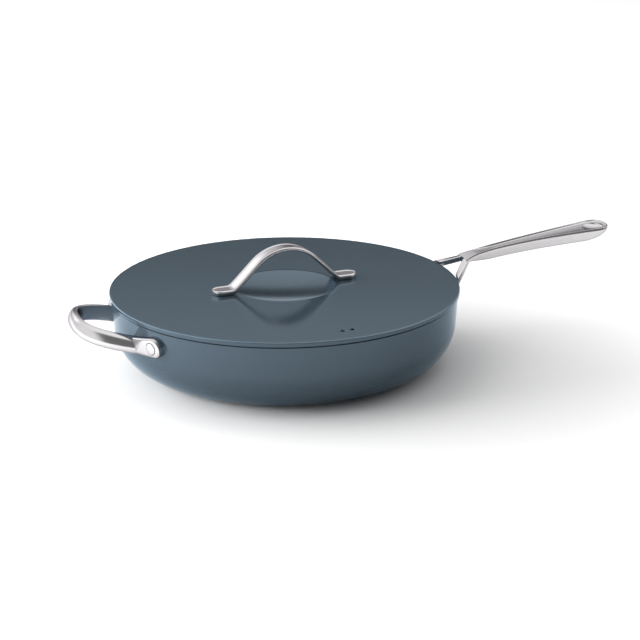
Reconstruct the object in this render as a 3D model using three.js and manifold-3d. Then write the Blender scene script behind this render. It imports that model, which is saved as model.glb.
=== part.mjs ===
// Deep saute pan with a flat lid, a forked long handle and a looped helper handle.
// Millimetres, +Z up. The origin is on the pan's axis at the table, and +X runs along the long handle.

import * as THREE from 'three';
import { mergeVertices } from 'three/addons/utils/BufferGeometryUtils.js';
import Module from 'manifold-3d';

const wasm = await Module();
wasm.setup();

const DEGREE = Math.PI / 180;

// Fits
const SEAT_GAP = 0.3; // between two pieces that seat on each other
const HOLE_CLEARANCE = 0.3; // round a shank in its hole
const SKIRT_CLEARANCE = 1.0; // between the lid's skirt and the pan's inner wall
const LEG_CLEARANCE = 2.0; // between the fork's legs and the edge of the lid as it lifts

// Pan
const RIM_RADIUS = 153.5; // outside of the wall at the rim
const PAN_HEIGHT = 64.3; // table to rim
const WALL = 2.6;
const WALL_FLARE = 3.4 * DEGREE; // lean of the wall away from the axis
const CORNER_RADIUS = 39.5; // outside, from the wall to the base
const FLOOR = 3.6;
const RIM_ROUND = 1.2; // outer edge of the rim
const RIM_INNER_ROUND = 0.7;
const BASE_LIFT = 0.4; // the base disc stands this far out of the pan's underside

// Base disc
const DISC_RADIUS = 104;
const DISC_THICKNESS = 1.6;
const DISC_CHAMFER = 0.5;

// Rivets
const RIVET_SHANK_RADIUS = 3.0;
const RIVET_HEAD_RADIUS = 5.3;
const RIVET_HEAD_THICKNESS = 1.5;
const RIVET_HEAD_DOME = 0.4;
const RIVET_SEAT_DEPTH = 1.4; // depth of the round seat for the head
const RIVET_INNER_RADIUS = 5.6;
const RIVET_INNER_DOME = 1.9;
const RIVET_INNER_GAP = 0.6; // behind the flat inner head, where the wall curves towards it

// Long handle
const HANDLE_REACH = 159; // edge of the lid to the tip
const CROTCH_REACH = 15.5; // edge of the lid to the inside of the fork
const NECK_REACH = 45; // edge of the lid to the narrowest place
const CROTCH_RISE = 13.2; // rim of the pan to the top of the fork
const TIP_RISE = 32.8; // rim of the pan to the top of the tip
const FORK_SLOPE = 29 * DEGREE; // climb of the top edge where it leaves the fork
const FORK_PULL_RATIO = 0.42; // how long the fork's slope holds, as a share of the run to the neck
const TIP_SLOPE = 4.3 * DEGREE; // climb of the top edge at the tip
const TIP_PULL_RATIO = 0.6; // how long the tip's slope holds, as a share of the run to the neck
const FORK_WIDTH = 21.6;
const NECK_WIDTH = 13.6;
const TIP_WIDTH = 31.4;
const FORK_WIDTH_POWER = 3.5; // power of the widening from the neck to the fork
const TIP_WIDTH_POWER = 1.5; // power of the widening from the neck to the tip
const NECK_DEPTH = 11.4;
const TIP_DEPTH = 14;
const FORK_DEPTH_POWER = 1.6; // power of the thinning from the neck to the fork
const NECK_BEVEL = 0.9;
const TIP_BEVEL = 1.9;
const CHANNEL_DEPTH = 1.9; // hollow along the top, between the two edges
const CHANNEL_EDGE = 1.3; // flat top of each edge
const CHANNEL_FADE = 18.5; // length over which the hollow runs out from the neck towards the fork
const CHANNEL_FLOOR_RATIO = 0.9; // width of the channel's floor, as a share of the width at its edges
const CHANNEL_CROWN_RATIO = 0.85; // depth beside the channel's floor, as a share of the depth at its middle
const KEEL_RATIOS = [[0.93, 0.46], [0.7, 0.83], [0.28, 1]]; // underside, as shares of half width and depth
const TIP_ROUNDING = 13; // length over which the tip rounds off in plan
const TIP_PLAN_POWER = 2.4; // power of the tip's outline in plan
const TIP_CLOSING_RATIO = 0.97; // how far the tip's outline closes
const TIP_UNDERCUT = 25; // length over which the underside rises to the tip
const TIP_LIFT_RATIO = 0.62; // share of the depth that the undercut takes away
const SCOOP_LENGTH = 24; // oval thumb scoop at the tip
const SCOOP_WIDTH = 22;
const SCOOP_DEPTH = 4.2;
const SCOOP_FROM_TIP = 15; // tip to the middle of the scoop
const CROTCH_HALF = 3; // half width of the inside of the fork
const LEG_WIDTH = 6.1;
const LEG_HEIGHT = 5.4; // at the fork
const LEG_ROOT_HEIGHT = 6.2; // where a leg reaches the wall
const LEG_BEVEL = 1.1;
const LEG_SPREAD = 37.2; // between the inner edges of the legs at the edge of the lid
const LEG_RISE = 4.5; // rim of the pan to the inner top edge of a leg at the edge of the lid
const LEG_TWIST = 30 * DEGREE; // inward lean of a leg's top face by the time it reaches the wall
const LEG_ROOT = 8; // run of a leg inside the shank
const LEG_ROOT_HALF = 0.5; // half of the space between the legs inside the shank
const LEG_SINK = 1.8; // top of a leg below the top of the shank at its root
const LEG_OVERRUN_RATIO = 0.5; // run of a leg past the edge of the lid, as a share of its run to there
const HANDLE_RIVET_SPACING = 46;
const HANDLE_RIVET_DROP = 15.3; // rim of the pan to the rivets
const HANDLE_PAD_WIDTH = 16;
const HANDLE_PAD_THICKNESS = 3.8;
const PAD_BEVEL = 1.6; // on the pads of both handles

// Helper handle
const HELPER_REACH = 32.3; // wall to the inside of the loop
const HELPER_WIDTH = 82; // inside, between the legs
const HELPER_CORNER = 22.5; // half width of the loop's flat front, inside
const HELPER_BEND_RATIO = 0.86; // where a leg starts to bend, as a share of its run to the front
const HELPER_TOE_IN = 1; // how far a leg leans inwards by its bend
const HELPER_DROP = 18.5; // rim of the pan to the middle of the strap at the wall
const HELPER_STRAP = 14.3; // height of the strap
const HELPER_THICKNESS = 9; // at the front, from the flat inside to the crown of the outside
const HELPER_ROOT_THICKNESS = 16.5; // the same where a leg swells into its pad
const HELPER_SWELL_POWER = 2; // how soon that swelling dies away
const HELPER_LIFT = 14.7 * DEGREE; // upward tilt of the loop
const HELPER_RIVET_SPACING = 141;
const HELPER_RIVET_DROP = 15; // rim of the pan to the rivets
const HELPER_PAD_HEIGHT = 17.6;
const HELPER_PAD_THICKNESS = 5;
const HELPER_PAD_RISE = 0.2; // middle of a pad's end above its rivet
const HELPER_PAD_ROOT_HEIGHT = 14.4; // height of a pad where the leg leaves it
const HELPER_PAD_BEYOND = 1; // straight run of a pad past its rivet

// Lid
const LID_OVERHANG = 1.5; // edge of the lid beyond the outside of the rim
const LID_EDGE = 3.6;
const LID_PLATE = 3.0;
const LID_ROUND = 1.1;
const LID_TURN = 5.2 * DEGREE; // the lid as it lies, turned about the pan's axis
const DISH_RADIUS = 45;
const DISH_DEPTH = 2.8;
const DISH_LIP = 1.2; // half width of the bevel round the dish
const SKIRT_DEPTH = 7;
const SKIRT_THICKNESS = 1.8;
const VENT_RADIUS = 2.1;
const VENT_SPACING = 8.8;
const VENT_DISTANCE = 134; // axis to the two vents

// Lid handle
const ARCH_SPAN = 119.6; // between the screws
const ARCH_HEIGHT = 36.2; // lid to the top of the crown
const ARCH_CROWN_RADIUS = 39.8; // to the middle of the strap
const ARCH_FOOT_RADIUS = 7.5; // to the middle of the strap
const ARCH_FOOT_RUN = 7; // screw to the start of the bend
const ARCH_STRAP = 3.1;
const ARCH_FOOT = 4.2; // thickness of a foot
const ARCH_FOOT_BLEND = 10.5; // length over which the strap thickens into a foot
const ARCH_CROWN_WIDTH = 16.4;
const ARCH_FOOT_WIDTH = 17.6;
const ARCH_EDGE_ROUND = 2; // rounding of the top edges
const ARCH_HOLLOW = 0.8; // depth of the hollow along the top
const ARCH_UNDER_BEVEL = 0.36;
const BOSS_RADIUS = 4.2; // round boss under each foot, through the lid
const BOSS_SHORT = 0.4; // the boss ends this far inside the lid
const SCREW_RADIUS = 2.0;
const SCREW_DEPTH = 4.6; // reach of the screw above the lid's underside
const SCREW_HEAD_RADIUS = 4.2;
const SCREW_HEAD_HEIGHT = 2.4;
const SCREW_HEAD_CHAMFER = 0.8;
const SCREW_SOCKET_RADIUS = 1.7;
const SCREW_SOCKET_DEPTH = 1.4;
const SCREW_SOCKET_SIDES = 6;
const WASHER_RADIUS = 7;
const WASHER_THICKNESS = 1.0;

// Facets
const ROUND_STEPS = 60; // pan, lid and base disc
const SMALL_STEPS = 18; // rivets, screws and washers
const ARC_STEPS = 6;
const CORNER_STEPS = 8; // the pan's corner and the helper handle's oval
const EDGE_STEPS = 3; // small roundings
const LOFT_STEPS = 14; // along the shank, a leg and half of the helper loop
const PAD_STEPS = 9; // along a pad of the helper handle
const NOSE_RATIO = 0.08; // last part of the shank's line, with closer rings
const END_STEPS = 5; // rings of a rounded end
const END_ANGLE = 84 * DEGREE; // where the last ring of a rounded end stands on its arc
const HOLLOW_SHARES = [0.5, 0, -0.5]; // points across a hollow, in half widths from its middle
const BEVEL_RATIO = 0.45; // largest share of a half width that a bevel takes
const MARGIN = 1; // overrun of a cutter past the faces it cuts

// Derived places
const lidTop = PAN_HEIGHT + SEAT_GAP + LID_EDGE;
const lidRadius = RIM_RADIUS + LID_OVERHANG;
const handleRivetHeight = PAN_HEIGHT - HANDLE_RIVET_DROP;
const helperRivetHeight = PAN_HEIGHT - HELPER_RIVET_DROP;
const helperHeight = PAN_HEIGHT - HELPER_DROP;
const rimInnerRadius = RIM_RADIUS - WALL / Math.cos(WALL_FLARE);

// Outside radius of the straight wall at a height.
function wallRadius(height) {
  return RIM_RADIUS - (PAN_HEIGHT - height) * Math.tan(WALL_FLARE);
}

// Solids, cuts and meshes

const steel = { color: 0xc9c7c6, metalness: 1.0, roughness: 0.28 };
const plainSteel = { color: 0xb4b4b4, metalness: 1.0, roughness: 0.42 };
const coating = { color: 0x5a6874, metalness: 0.1, roughness: 0.38 };

function toSolid(geometry) {
  const bare = geometry.clone();
  for (const name of Object.keys(bare.attributes)) {
    if (name !== 'position') bare.deleteAttribute(name);
  }
  const merged = mergeVertices(bare, 1e-4);
  const index = merged.index.array;
  const triangles = [];
  for (let i = 0; i < index.length; i += 3) {
    const [a, b, c] = [index[i], index[i + 1], index[i + 2]];
    if (a !== b && b !== c && c !== a) triangles.push(a, b, c);
  }
  return new wasm.Manifold(new wasm.Mesh({
    numProp: 3,
    vertProperties: Float32Array.from(merged.attributes.position.array),
    triVerts: Uint32Array.from(triangles),
  }));
}

function toGeometry(solid) {
  const mesh = solid.getMesh();
  const geometry = new THREE.BufferGeometry();
  geometry.setAttribute('position', new THREE.BufferAttribute(mesh.vertProperties, 3));
  geometry.setIndex(new THREE.BufferAttribute(mesh.triVerts, 1));
  geometry.computeVertexNormals();
  return geometry;
}

function join(geometries) {
  return geometries.map(toSolid).reduce((whole, piece) => whole.add(piece));
}

function cut(solid, cutters) {
  return cutters.map(toSolid).reduce((rest, cutter) => rest.subtract(cutter), solid);
}

function part(name, geometry, finish) {
  const mesh = new THREE.Mesh(geometry, new THREE.MeshStandardMaterial(finish));
  mesh.name = name;
  return mesh;
}

// Revolves a profile of [radius, height] points about Z.
function revolve(points, steps) {
  const profile = points.map(([radius, height]) => new THREE.Vector2(radius, height));
  return new THREE.LatheGeometry(profile, steps).rotateX(Math.PI / 2);
}

// A round cutter along Z from one height to another.
function drill(radius, from, to, steps = SMALL_STEPS) {
  const geometry = new THREE.CylinderGeometry(radius, radius, to - from, steps);
  return geometry.rotateX(Math.PI / 2).translate(0, 0, (from + to) / 2);
}

// Points of an arc about a centre, both ends included.
function arc(centre, radius, from, to, steps = ARC_STEPS) {
  return Array.from({ length: steps + 1 }, (_, i) => {
    const angle = from + ((to - from) * i) / steps;
    return [centre[0] + radius * Math.cos(angle), centre[1] + radius * Math.sin(angle)];
  });
}

// Points of a dome on the axis, from its rim up to its top.
function dome(radius, height, foot) {
  return arc([0, 0], 1, 0, Math.PI / 2, EDGE_STEPS).map(([a, b]) => [radius * a, foot + height * b]);
}

// Places of the rings along a rounded end, as shares of its length.
function roundEnd() {
  return arc([0, 0], 1, 0, END_ANGLE, END_STEPS).map(([, share]) => share);
}

// Skins a row of rings. Each ring runs counter-clockwise as seen from the end of the row.
function loft(rings) {
  const count = rings[0].length;
  const last = rings.length - 1;
  const middle = (ring) => ring.reduce((sum, p) => sum.add(p), new THREE.Vector3()).divideScalar(count);
  const points = [...rings.flat(), middle(rings[0]), middle(rings[last])];
  const startCentre = rings.length * count;
  const faces = [];
  for (let j = 0; j < count; j += 1) {
    const k = (j + 1) % count;
    for (let i = 0; i < last; i += 1) {
      const [a, b] = [i * count + j, i * count + k];
      faces.push(a, b, b + count, a, b + count, a + count);
    }
    faces.push(startCentre, k, j);
    faces.push(startCentre + 1, last * count + j, last * count + k);
  }
  const geometry = new THREE.BufferGeometry().setFromPoints(points);
  geometry.setIndex(faces);
  return geometry;
}

// The same rings on the other side of the handles' plane.
function mirrored(rings) {
  return rings.map((ring) => ring.map((p) => new THREE.Vector3(p.x, -p.y, p.z)).reverse());
}

// A bevelled bar section from 0 to the thickness, centred on its height; one face stays flat.
function barSection(thickness, height, bevel) {
  const half = height / 2;
  const edge = Math.min(bevel, half * BEVEL_RATIO);
  return [
    [0, -half + edge / 2],
    [edge / 2, -half],
    [thickness - edge, -half],
    [thickness, -half + edge],
    [thickness, half - edge],
    [thickness - edge, half],
    [edge / 2, half],
    [0, half - edge / 2],
  ];
}

// Places a section of [across, along] points on a point with two directions.
function ringAt(point, across, along, section) {
  return section.map(([a, b]) => point.clone().addScaledVector(across, a).addScaledVector(along, b));
}

// Frame on the outside of the wall: X along the wall, Z out of it.
function wallFrame(azimuth, height) {
  const along = new THREE.Vector3(-Math.sin(azimuth), Math.cos(azimuth), 0);
  const level = new THREE.Vector3(Math.cos(azimuth), Math.sin(azimuth), 0);
  const out = level.clone().multiplyScalar(Math.cos(WALL_FLARE));
  out.z = -Math.sin(WALL_FLARE);
  const place = level.multiplyScalar(wallRadius(height));
  place.z = height;
  const up = out.clone().cross(along);
  return new THREE.Matrix4().makeBasis(along, up, out).setPosition(place);
}

// The room that the handles leave free: the wall they seat on and the way of the rising lid.
function keptFree() {
  const low = BASE_LIFT + CORNER_RADIUS / 2;
  const step = PAN_HEIGHT - RIM_ROUND;
  const high = PAN_HEIGHT + TIP_RISE;
  const lidWay = lidRadius + LEG_CLEARANCE;
  return revolve([
    [0, low],
    [wallRadius(low) + SEAT_GAP, low],
    [wallRadius(step) + SEAT_GAP, step],
    [lidWay, step],
    [lidWay, high],
    [0, high],
  ], ROUND_STEPS);
}

// Rivets and the places they go

function rivetPair(spacing, height, facing, padThickness) {
  const spread = Math.asin(spacing / 2 / wallRadius(height));
  const face = SEAT_GAP + padThickness;
  return {
    face,
    seat: face - RIVET_SEAT_DEPTH,
    left: wallFrame(facing + spread, height),
    right: wallFrame(facing - spread, height),
  };
}

const handleRivets = rivetPair(HANDLE_RIVET_SPACING, handleRivetHeight, 0, HANDLE_PAD_THICKNESS);
const helperRivets = rivetPair(HELPER_RIVET_SPACING, helperRivetHeight, Math.PI, HELPER_PAD_THICKNESS);

// Cutters for both rivets of a pair: a hole through pad and wall, and a round seat for the head.
function rivetCuts({ face, seat, left, right }) {
  return [left, right].flatMap((frame) => [
    drill(RIVET_SHANK_RADIUS + HOLE_CLEARANCE, -WALL - MARGIN, face + MARGIN).applyMatrix4(frame),
    drill(RIVET_HEAD_RADIUS + HOLE_CLEARANCE, seat, face + RIVET_HEAD_RADIUS).applyMatrix4(frame),
  ]);
}

function rivetGeometry(seat) {
  const headBottom = seat + SEAT_GAP;
  const headTop = headBottom + RIVET_HEAD_THICKNESS;
  const innerTop = -WALL - RIVET_INNER_GAP;
  return revolve([
    ...dome(RIVET_INNER_RADIUS, -RIVET_INNER_DOME, innerTop).reverse(),
    [RIVET_SHANK_RADIUS, innerTop],
    [RIVET_SHANK_RADIUS, headBottom],
    [RIVET_HEAD_RADIUS, headBottom],
    ...dome(RIVET_HEAD_RADIUS, RIVET_HEAD_DOME, headTop),
  ], SMALL_STEPS);
}

function rivets(prefix, pair) {
  return ['left', 'right'].map((side) => {
    const mesh = part(`${prefix}_${side}`, rivetGeometry(pair.seat), steel);
    mesh.applyMatrix4(pair[side]);
    return mesh;
  });
}

// Pan body: one deep-drawn shell with a flared wall and a wide rounded corner

function panBody() {
  const lean = WALL_FLARE;
  const cornerHeight = BASE_LIFT + CORNER_RADIUS;
  const wallFoot = cornerHeight - CORNER_RADIUS * Math.sin(lean);
  const cornerCentre = [wallRadius(wallFoot) - CORNER_RADIUS * Math.cos(lean), cornerHeight];
  const floorTop = BASE_LIFT + FLOOR;
  const innerRadius = CORNER_RADIUS - WALL;
  const innerCentre = [cornerCentre[0], floorTop + innerRadius];
  const recess = DISC_RADIUS + SEAT_GAP;
  const recessTop = DISC_THICKNESS + SEAT_GAP;
  const outerRim = [RIM_RADIUS - RIM_ROUND, PAN_HEIGHT - RIM_ROUND];
  const innerRim = [rimInnerRadius + RIM_INNER_ROUND, PAN_HEIGHT - RIM_INNER_ROUND];
  const profile = [
    [0, recessTop],
    [recess, recessTop],
    [recess, BASE_LIFT],
    ...arc(cornerCentre, CORNER_RADIUS, -Math.PI / 2, -lean, CORNER_STEPS),
    ...arc(outerRim, RIM_ROUND, 0, Math.PI / 2, EDGE_STEPS),
    ...arc(innerRim, RIM_INNER_ROUND, Math.PI / 2, Math.PI, EDGE_STEPS),
    ...arc(innerCentre, innerRadius, -lean, -Math.PI / 2, CORNER_STEPS),
    [0, floorTop],
  ];
  const holes = [handleRivets, helperRivets].flatMap(rivetCuts);
  return toGeometry(cut(toSolid(revolve(profile, ROUND_STEPS)), holes));
}

function baseDisc() {
  return revolve([
    [0, 0],
    [DISC_RADIUS - DISC_CHAMFER, 0],
    [DISC_RADIUS, DISC_CHAMFER],
    [DISC_RADIUS, DISC_THICKNESS],
    [0, DISC_THICKNESS],
  ], ROUND_STEPS);
}

// Long handle: a channelled shank that splits into two legs, each ending in a pad on the wall

const crotchX = lidRadius + CROTCH_REACH;
const neckX = lidRadius + NECK_REACH;
const tipX = lidRadius + HANDLE_REACH;
const crotchTop = PAN_HEIGHT + CROTCH_RISE;
const tipTop = PAN_HEIGHT + TIP_RISE;

function shankTopLine() {
  const forkPull = (neckX - crotchX) * FORK_PULL_RATIO;
  const tipPull = (tipX - neckX) * TIP_PULL_RATIO;
  return new THREE.CubicBezierCurve(
    new THREE.Vector2(crotchX, crotchTop),
    new THREE.Vector2(crotchX + forkPull, crotchTop + forkPull * Math.tan(FORK_SLOPE)),
    new THREE.Vector2(tipX - tipPull, tipTop - tipPull * Math.tan(TIP_SLOPE)),
    new THREE.Vector2(tipX, tipTop),
  );
}

// Width, depth, bevel and channel of the shank at a distance from the axis.
function shankSizes(x) {
  const toFork = Math.max(0, (neckX - x) / (neckX - crotchX));
  const grown = THREE.MathUtils.clamp((x - neckX) / (tipX - TIP_ROUNDING - neckX), 0, 1);
  const hollow = THREE.MathUtils.clamp(1 - (neckX - x) / CHANNEL_FADE, 0, 1);
  const rounding = Math.max(0, (x - (tipX - TIP_ROUNDING)) / TIP_ROUNDING);
  const undercut = Math.max(0, (x - (tipX - TIP_UNDERCUT)) / TIP_UNDERCUT);
  const nose = (1 - TIP_CLOSING_RATIO * rounding ** TIP_PLAN_POWER) ** (1 / TIP_PLAN_POWER);
  const width = NECK_WIDTH + (TIP_WIDTH - NECK_WIDTH) * grown ** TIP_WIDTH_POWER
    + (FORK_WIDTH - NECK_WIDTH) * toFork ** FORK_WIDTH_POWER;
  const depth = NECK_DEPTH + (TIP_DEPTH - NECK_DEPTH) * grown
    + (LEG_HEIGHT - NECK_DEPTH) * toFork ** FORK_DEPTH_POWER;
  return {
    half: (width / 2) * nose,
    depth: depth * (1 - TIP_LIFT_RATIO * undercut ** 2),
    bevel: (NECK_BEVEL + (TIP_BEVEL - NECK_BEVEL) * grown) * nose,
    channel: CHANNEL_DEPTH * hollow * (1 - rounding ** 2),
  };
}

// Section across the shank: bevelled edges, a hollow top and a keeled underside.
function shankSection({ half, depth, bevel, channel }) {
  const edge = half - bevel;
  const wall = edge - Math.min(CHANNEL_EDGE, edge * BEVEL_RATIO);
  const right = [
    [half, -bevel],
    [edge, 0],
    [wall, 0],
    [wall * CHANNEL_FLOOR_RATIO, -channel * CHANNEL_CROWN_RATIO],
  ];
  const under = KEEL_RATIOS.map(([across, down]) => [-half * across, -depth * down]);
  const swap = ([y, z]) => [-y, z];
  return [...right, [0, -channel], ...right.map(swap).reverse(), ...under, ...under.map(swap).reverse()];
}

function shank() {
  const line = shankTopLine();
  const across = new THREE.Vector3(0, 1, 0);
  const up = new THREE.Vector3(0, 0, 1);
  const body = Array.from({ length: LOFT_STEPS }, (_, i) => ((1 - NOSE_RATIO) * i) / LOFT_STEPS);
  const nose = [...roundEnd(), 1].map((share) => 1 - NOSE_RATIO * (1 - share));
  const rings = [...body, ...nose].map((t) => {
    const { x, y: top } = line.getPoint(t);
    return ringAt(new THREE.Vector3(x, 0, top), across, up, shankSection(shankSizes(x)));
  });
  return loft(rings);
}

function thumbScoop() {
  const top = tipTop - SCOOP_FROM_TIP * Math.tan(TIP_SLOPE);
  const bowl = new THREE.SphereGeometry(1, SMALL_STEPS, SMALL_STEPS / 2);
  bowl.scale(SCOOP_LENGTH / 2, SCOOP_WIDTH / 2, SCOOP_DEPTH);
  return bowl.rotateY(-TIP_SLOPE).translate(tipX - SCOOP_FROM_TIP, 0, top);
}

// Inner top edge of a leg, from inside the shank down past the lid's edge to the wall.
function legEdge() {
  const edge = lidRadius + LEG_CLEARANCE;
  const crotch = new THREE.Vector3(crotchX, CROTCH_HALF, crotchTop);
  const passing = new THREE.Vector3(
    Math.sqrt(edge ** 2 - (LEG_SPREAD / 2) ** 2),
    LEG_SPREAD / 2,
    PAN_HEIGHT + LEG_RISE,
  );
  const rootTop = crotchTop + LEG_ROOT * Math.tan(FORK_SLOPE) - LEG_SINK;
  const inShank = new THREE.Vector3(crotchX + LEG_ROOT, LEG_ROOT_HALF, rootTop);
  const atWall = passing.clone().lerp(crotch, -LEG_OVERRUN_RATIO);
  return new THREE.CatmullRomCurve3([inShank, crotch, passing, atWall], false, 'centripetal');
}

// Rings of one leg: a bar hung from its inner top edge, leaning and deepening towards the wall.
function legRings() {
  const line = legEdge();
  const down = new THREE.Vector3(0, 0, -1);
  return Array.from({ length: LOFT_STEPS + 1 }, (_, i) => {
    const run = i / LOFT_STEPS;
    const along = line.getTangentAt(run);
    const level = new THREE.Vector3(along.y, -along.x, 0).normalize();
    const lean = LEG_TWIST * run;
    const out = level.clone().multiplyScalar(Math.cos(lean)).addScaledVector(down, -Math.sin(lean));
    const under = down.clone().multiplyScalar(Math.cos(lean)).addScaledVector(level, Math.sin(lean));
    const height = LEG_HEIGHT + (LEG_ROOT_HEIGHT - LEG_HEIGHT) * run ** 2;
    const section = barSection(LEG_WIDTH, height, LEG_BEVEL).map(([a, b]) => [a, b + height / 2]);
    return ringAt(line.getPointAt(run), out, under, section);
  });
}

// Pad under a leg: an upright tongue on the wall, round below the rivet.
function handlePad(frame) {
  const half = HANDLE_PAD_WIDTH / 2;
  const top = (PAN_HEIGHT - RIM_ROUND - handleRivetHeight) / Math.cos(WALL_FLARE);
  const outline = new THREE.Shape();
  outline.moveTo(half, top);
  outline.lineTo(-half, top);
  outline.absarc(0, 0, half, Math.PI, 2 * Math.PI);
  outline.closePath();
  const tongue = new THREE.ExtrudeGeometry(outline, {
    depth: handleRivets.face - PAD_BEVEL,
    bevelThickness: PAD_BEVEL,
    bevelSize: PAD_BEVEL,
    bevelOffset: -PAD_BEVEL,
    bevelSegments: 1,
    curveSegments: SMALL_STEPS / 2,
  });
  return tongue.applyMatrix4(frame);
}

function longHandle() {
  const leg = legRings();
  const pads = [handleRivets.left, handleRivets.right].map(handlePad);
  const whole = join([shank(), loft(leg), loft(mirrored(leg)), ...pads]);
  return toGeometry(cut(whole, [keptFree(), thumbScoop(), ...rivetCuts(handleRivets)]));
}

// Helper handle: a tilted loop of half-oval strap on two riveted pads

const helperWall = wallRadius(helperRivetHeight);
const helperLeave = Math.sqrt(helperWall ** 2 - (HELPER_WIDTH / 2) ** 2);
const helperRoot = Math.sqrt(helperWall ** 2 - (HELPER_WIDTH / 2 + HELPER_ROOT_THICKNESS) ** 2);
const helperFront = helperWall + HELPER_REACH;

// Height of the strap's middle at a reach from the axis.
function strapHeight(reach) {
  return helperHeight + (reach - helperWall) * Math.tan(HELPER_LIFT);
}

// Inside of the loop on one side, from the pad to the middle of the front.
function helperHalf() {
  const at = (reach, y) => new THREE.Vector3(-reach, y, strapHeight(reach));
  const bend = helperRoot + (helperFront - helperRoot) * HELPER_BEND_RATIO;
  return new THREE.CubicBezierCurve3(
    at(helperRoot, HELPER_WIDTH / 2),
    at(bend, HELPER_WIDTH / 2 - HELPER_TOE_IN),
    at(helperFront, HELPER_CORNER),
    at(helperFront, 0),
  );
}

// Thickness of the strap at a share of the way from the pad to the middle of the front.
function strapThickness(share) {
  const swell = (1 - share) ** HELPER_SWELL_POWER;
  return HELPER_THICKNESS + (HELPER_ROOT_THICKNESS - HELPER_THICKNESS) * swell;
}

// Flat inside, oval outside, from 0 to the thickness.
function strapSection(thickness, height) {
  const half = height / 2;
  const oval = arc([0, 0], 1, -Math.PI / 2, Math.PI / 2, CORNER_STEPS);
  return oval.map(([a, b]) => [thickness * a, half * b]);
}

function helperLoop() {
  const side = helperHalf();
  const first = Array.from({ length: LOFT_STEPS + 1 }, (_, i) => {
    const t = i / LOFT_STEPS;
    const point = side.getPoint(t);
    const along = side.getTangent(t);
    const out = new THREE.Vector3(along.y, -along.x, 0).normalize();
    const down = along.clone().cross(out).normalize();
    return ringAt(point, out, down, strapSection(strapThickness(t), HELPER_STRAP));
  });
  const second = mirrored(first).slice(0, -1).reverse().map((ring) => ring.reverse());
  return loft([...first, ...second]);
}

// One pad of the helper handle, bent to the wall, with a round outer end.
function helperPad(side) {
  const rivet = Math.asin(HELPER_RIVET_SPACING / 2 / helperWall);
  const inner = Math.asin(HELPER_WIDTH / 2 / helperWall);
  const last = rivet + HELPER_PAD_BEYOND / helperWall;
  const end = HELPER_PAD_HEIGHT / 2 / helperWall;
  const rootRise = strapHeight(helperLeave) - helperRivetHeight;
  const even = Array.from({ length: PAD_STEPS }, (_, i) => inner + ((last - inner) * i) / PAD_STEPS);
  const rounding = roundEnd().map((share) => last + end * share);
  const rings = [...even, ...rounding].map((azimuth) => {
    const grown = Math.min(1, (azimuth - inner) / (rivet - inner));
    const round = Math.max(0, (azimuth - last) / end);
    const full = HELPER_PAD_ROOT_HEIGHT + (HELPER_PAD_HEIGHT - HELPER_PAD_ROOT_HEIGHT) * grown;
    const frame = wallFrame(Math.PI - azimuth, helperRivetHeight);
    const [along, up, out] = [new THREE.Vector3(), new THREE.Vector3(), new THREE.Vector3()];
    frame.extractBasis(along, up, out);
    const rise = (rootRise + (HELPER_PAD_RISE - rootRise) * grown) / Math.cos(WALL_FLARE);
    const point = new THREE.Vector3().setFromMatrixPosition(frame).addScaledVector(up, rise);
    const section = barSection(helperRivets.face, full * Math.sqrt(1 - round ** 2), PAD_BEVEL);
    return ringAt(point, out, up, section);
  });
  return loft(side > 0 ? rings : mirrored(rings));
}

function helperHandle() {
  const whole = join([helperLoop(), helperPad(1), helperPad(-1)]);
  return toGeometry(cut(whole, [keptFree(), ...rivetCuts(helperRivets)]));
}

// Lid: a flat disc with a shallow dish under the handle and a skirt that drops inside the rim

const dishSphere = (DISH_RADIUS ** 2 + DISH_DEPTH ** 2) / (2 * DISH_DEPTH);

function dishHeight(radius) {
  return dishSphere - DISH_DEPTH - Math.sqrt(dishSphere ** 2 - radius ** 2);
}

function lidBody() {
  const skirtOuter = rimInnerRadius - SKIRT_CLEARANCE;
  const skirtInner = skirtOuter - SKIRT_THICKNESS;
  const skirtFoot = -LID_EDGE - SKIRT_DEPTH;
  const bowl = DISH_RADIUS - DISH_LIP;
  const dish = Array.from({ length: ARC_STEPS + 1 }, (_, i) => {
    const radius = (bowl * i) / ARC_STEPS;
    return [radius, dishHeight(radius)];
  });
  const profile = [
    ...dish.map(([radius, height]) => [radius, height - LID_PLATE]),
    [DISH_RADIUS + DISH_LIP, -LID_PLATE],
    [skirtInner, -LID_PLATE],
    [skirtInner, skirtFoot],
    [skirtOuter, skirtFoot],
    [skirtOuter, -LID_EDGE],
    [lidRadius - LID_ROUND / 2, -LID_EDGE],
    [lidRadius, -LID_EDGE + LID_ROUND / 2],
    ...arc([lidRadius - LID_ROUND, -LID_ROUND], LID_ROUND, 0, Math.PI / 2, EDGE_STEPS),
    [DISH_RADIUS + DISH_LIP, 0],
    ...dish.reverse(),
  ];
  const vents = [-1, 1].map((side) => drill(VENT_RADIUS, -LID_EDGE - MARGIN, MARGIN)
    .translate((side * VENT_SPACING) / 2, -VENT_DISTANCE, 0));
  const bossHoles = [-1, 1].map((side) => drill(BOSS_RADIUS + HOLE_CLEARANCE, -LID_EDGE - MARGIN, MARGIN)
    .translate((side * ARCH_SPAN) / 2, 0, 0));
  return toGeometry(cut(toSolid(revolve(profile, ROUND_STEPS)), [...vents, ...bossHoles]));
}

// Lid handle: a strap bent into an arch between two round-ended feet

const footEnd = ARCH_SPAN / 2 + ARCH_FOOT_WIDTH / 2;
const footStart = ARCH_SPAN / 2 - ARCH_FOOT_RUN;

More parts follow.
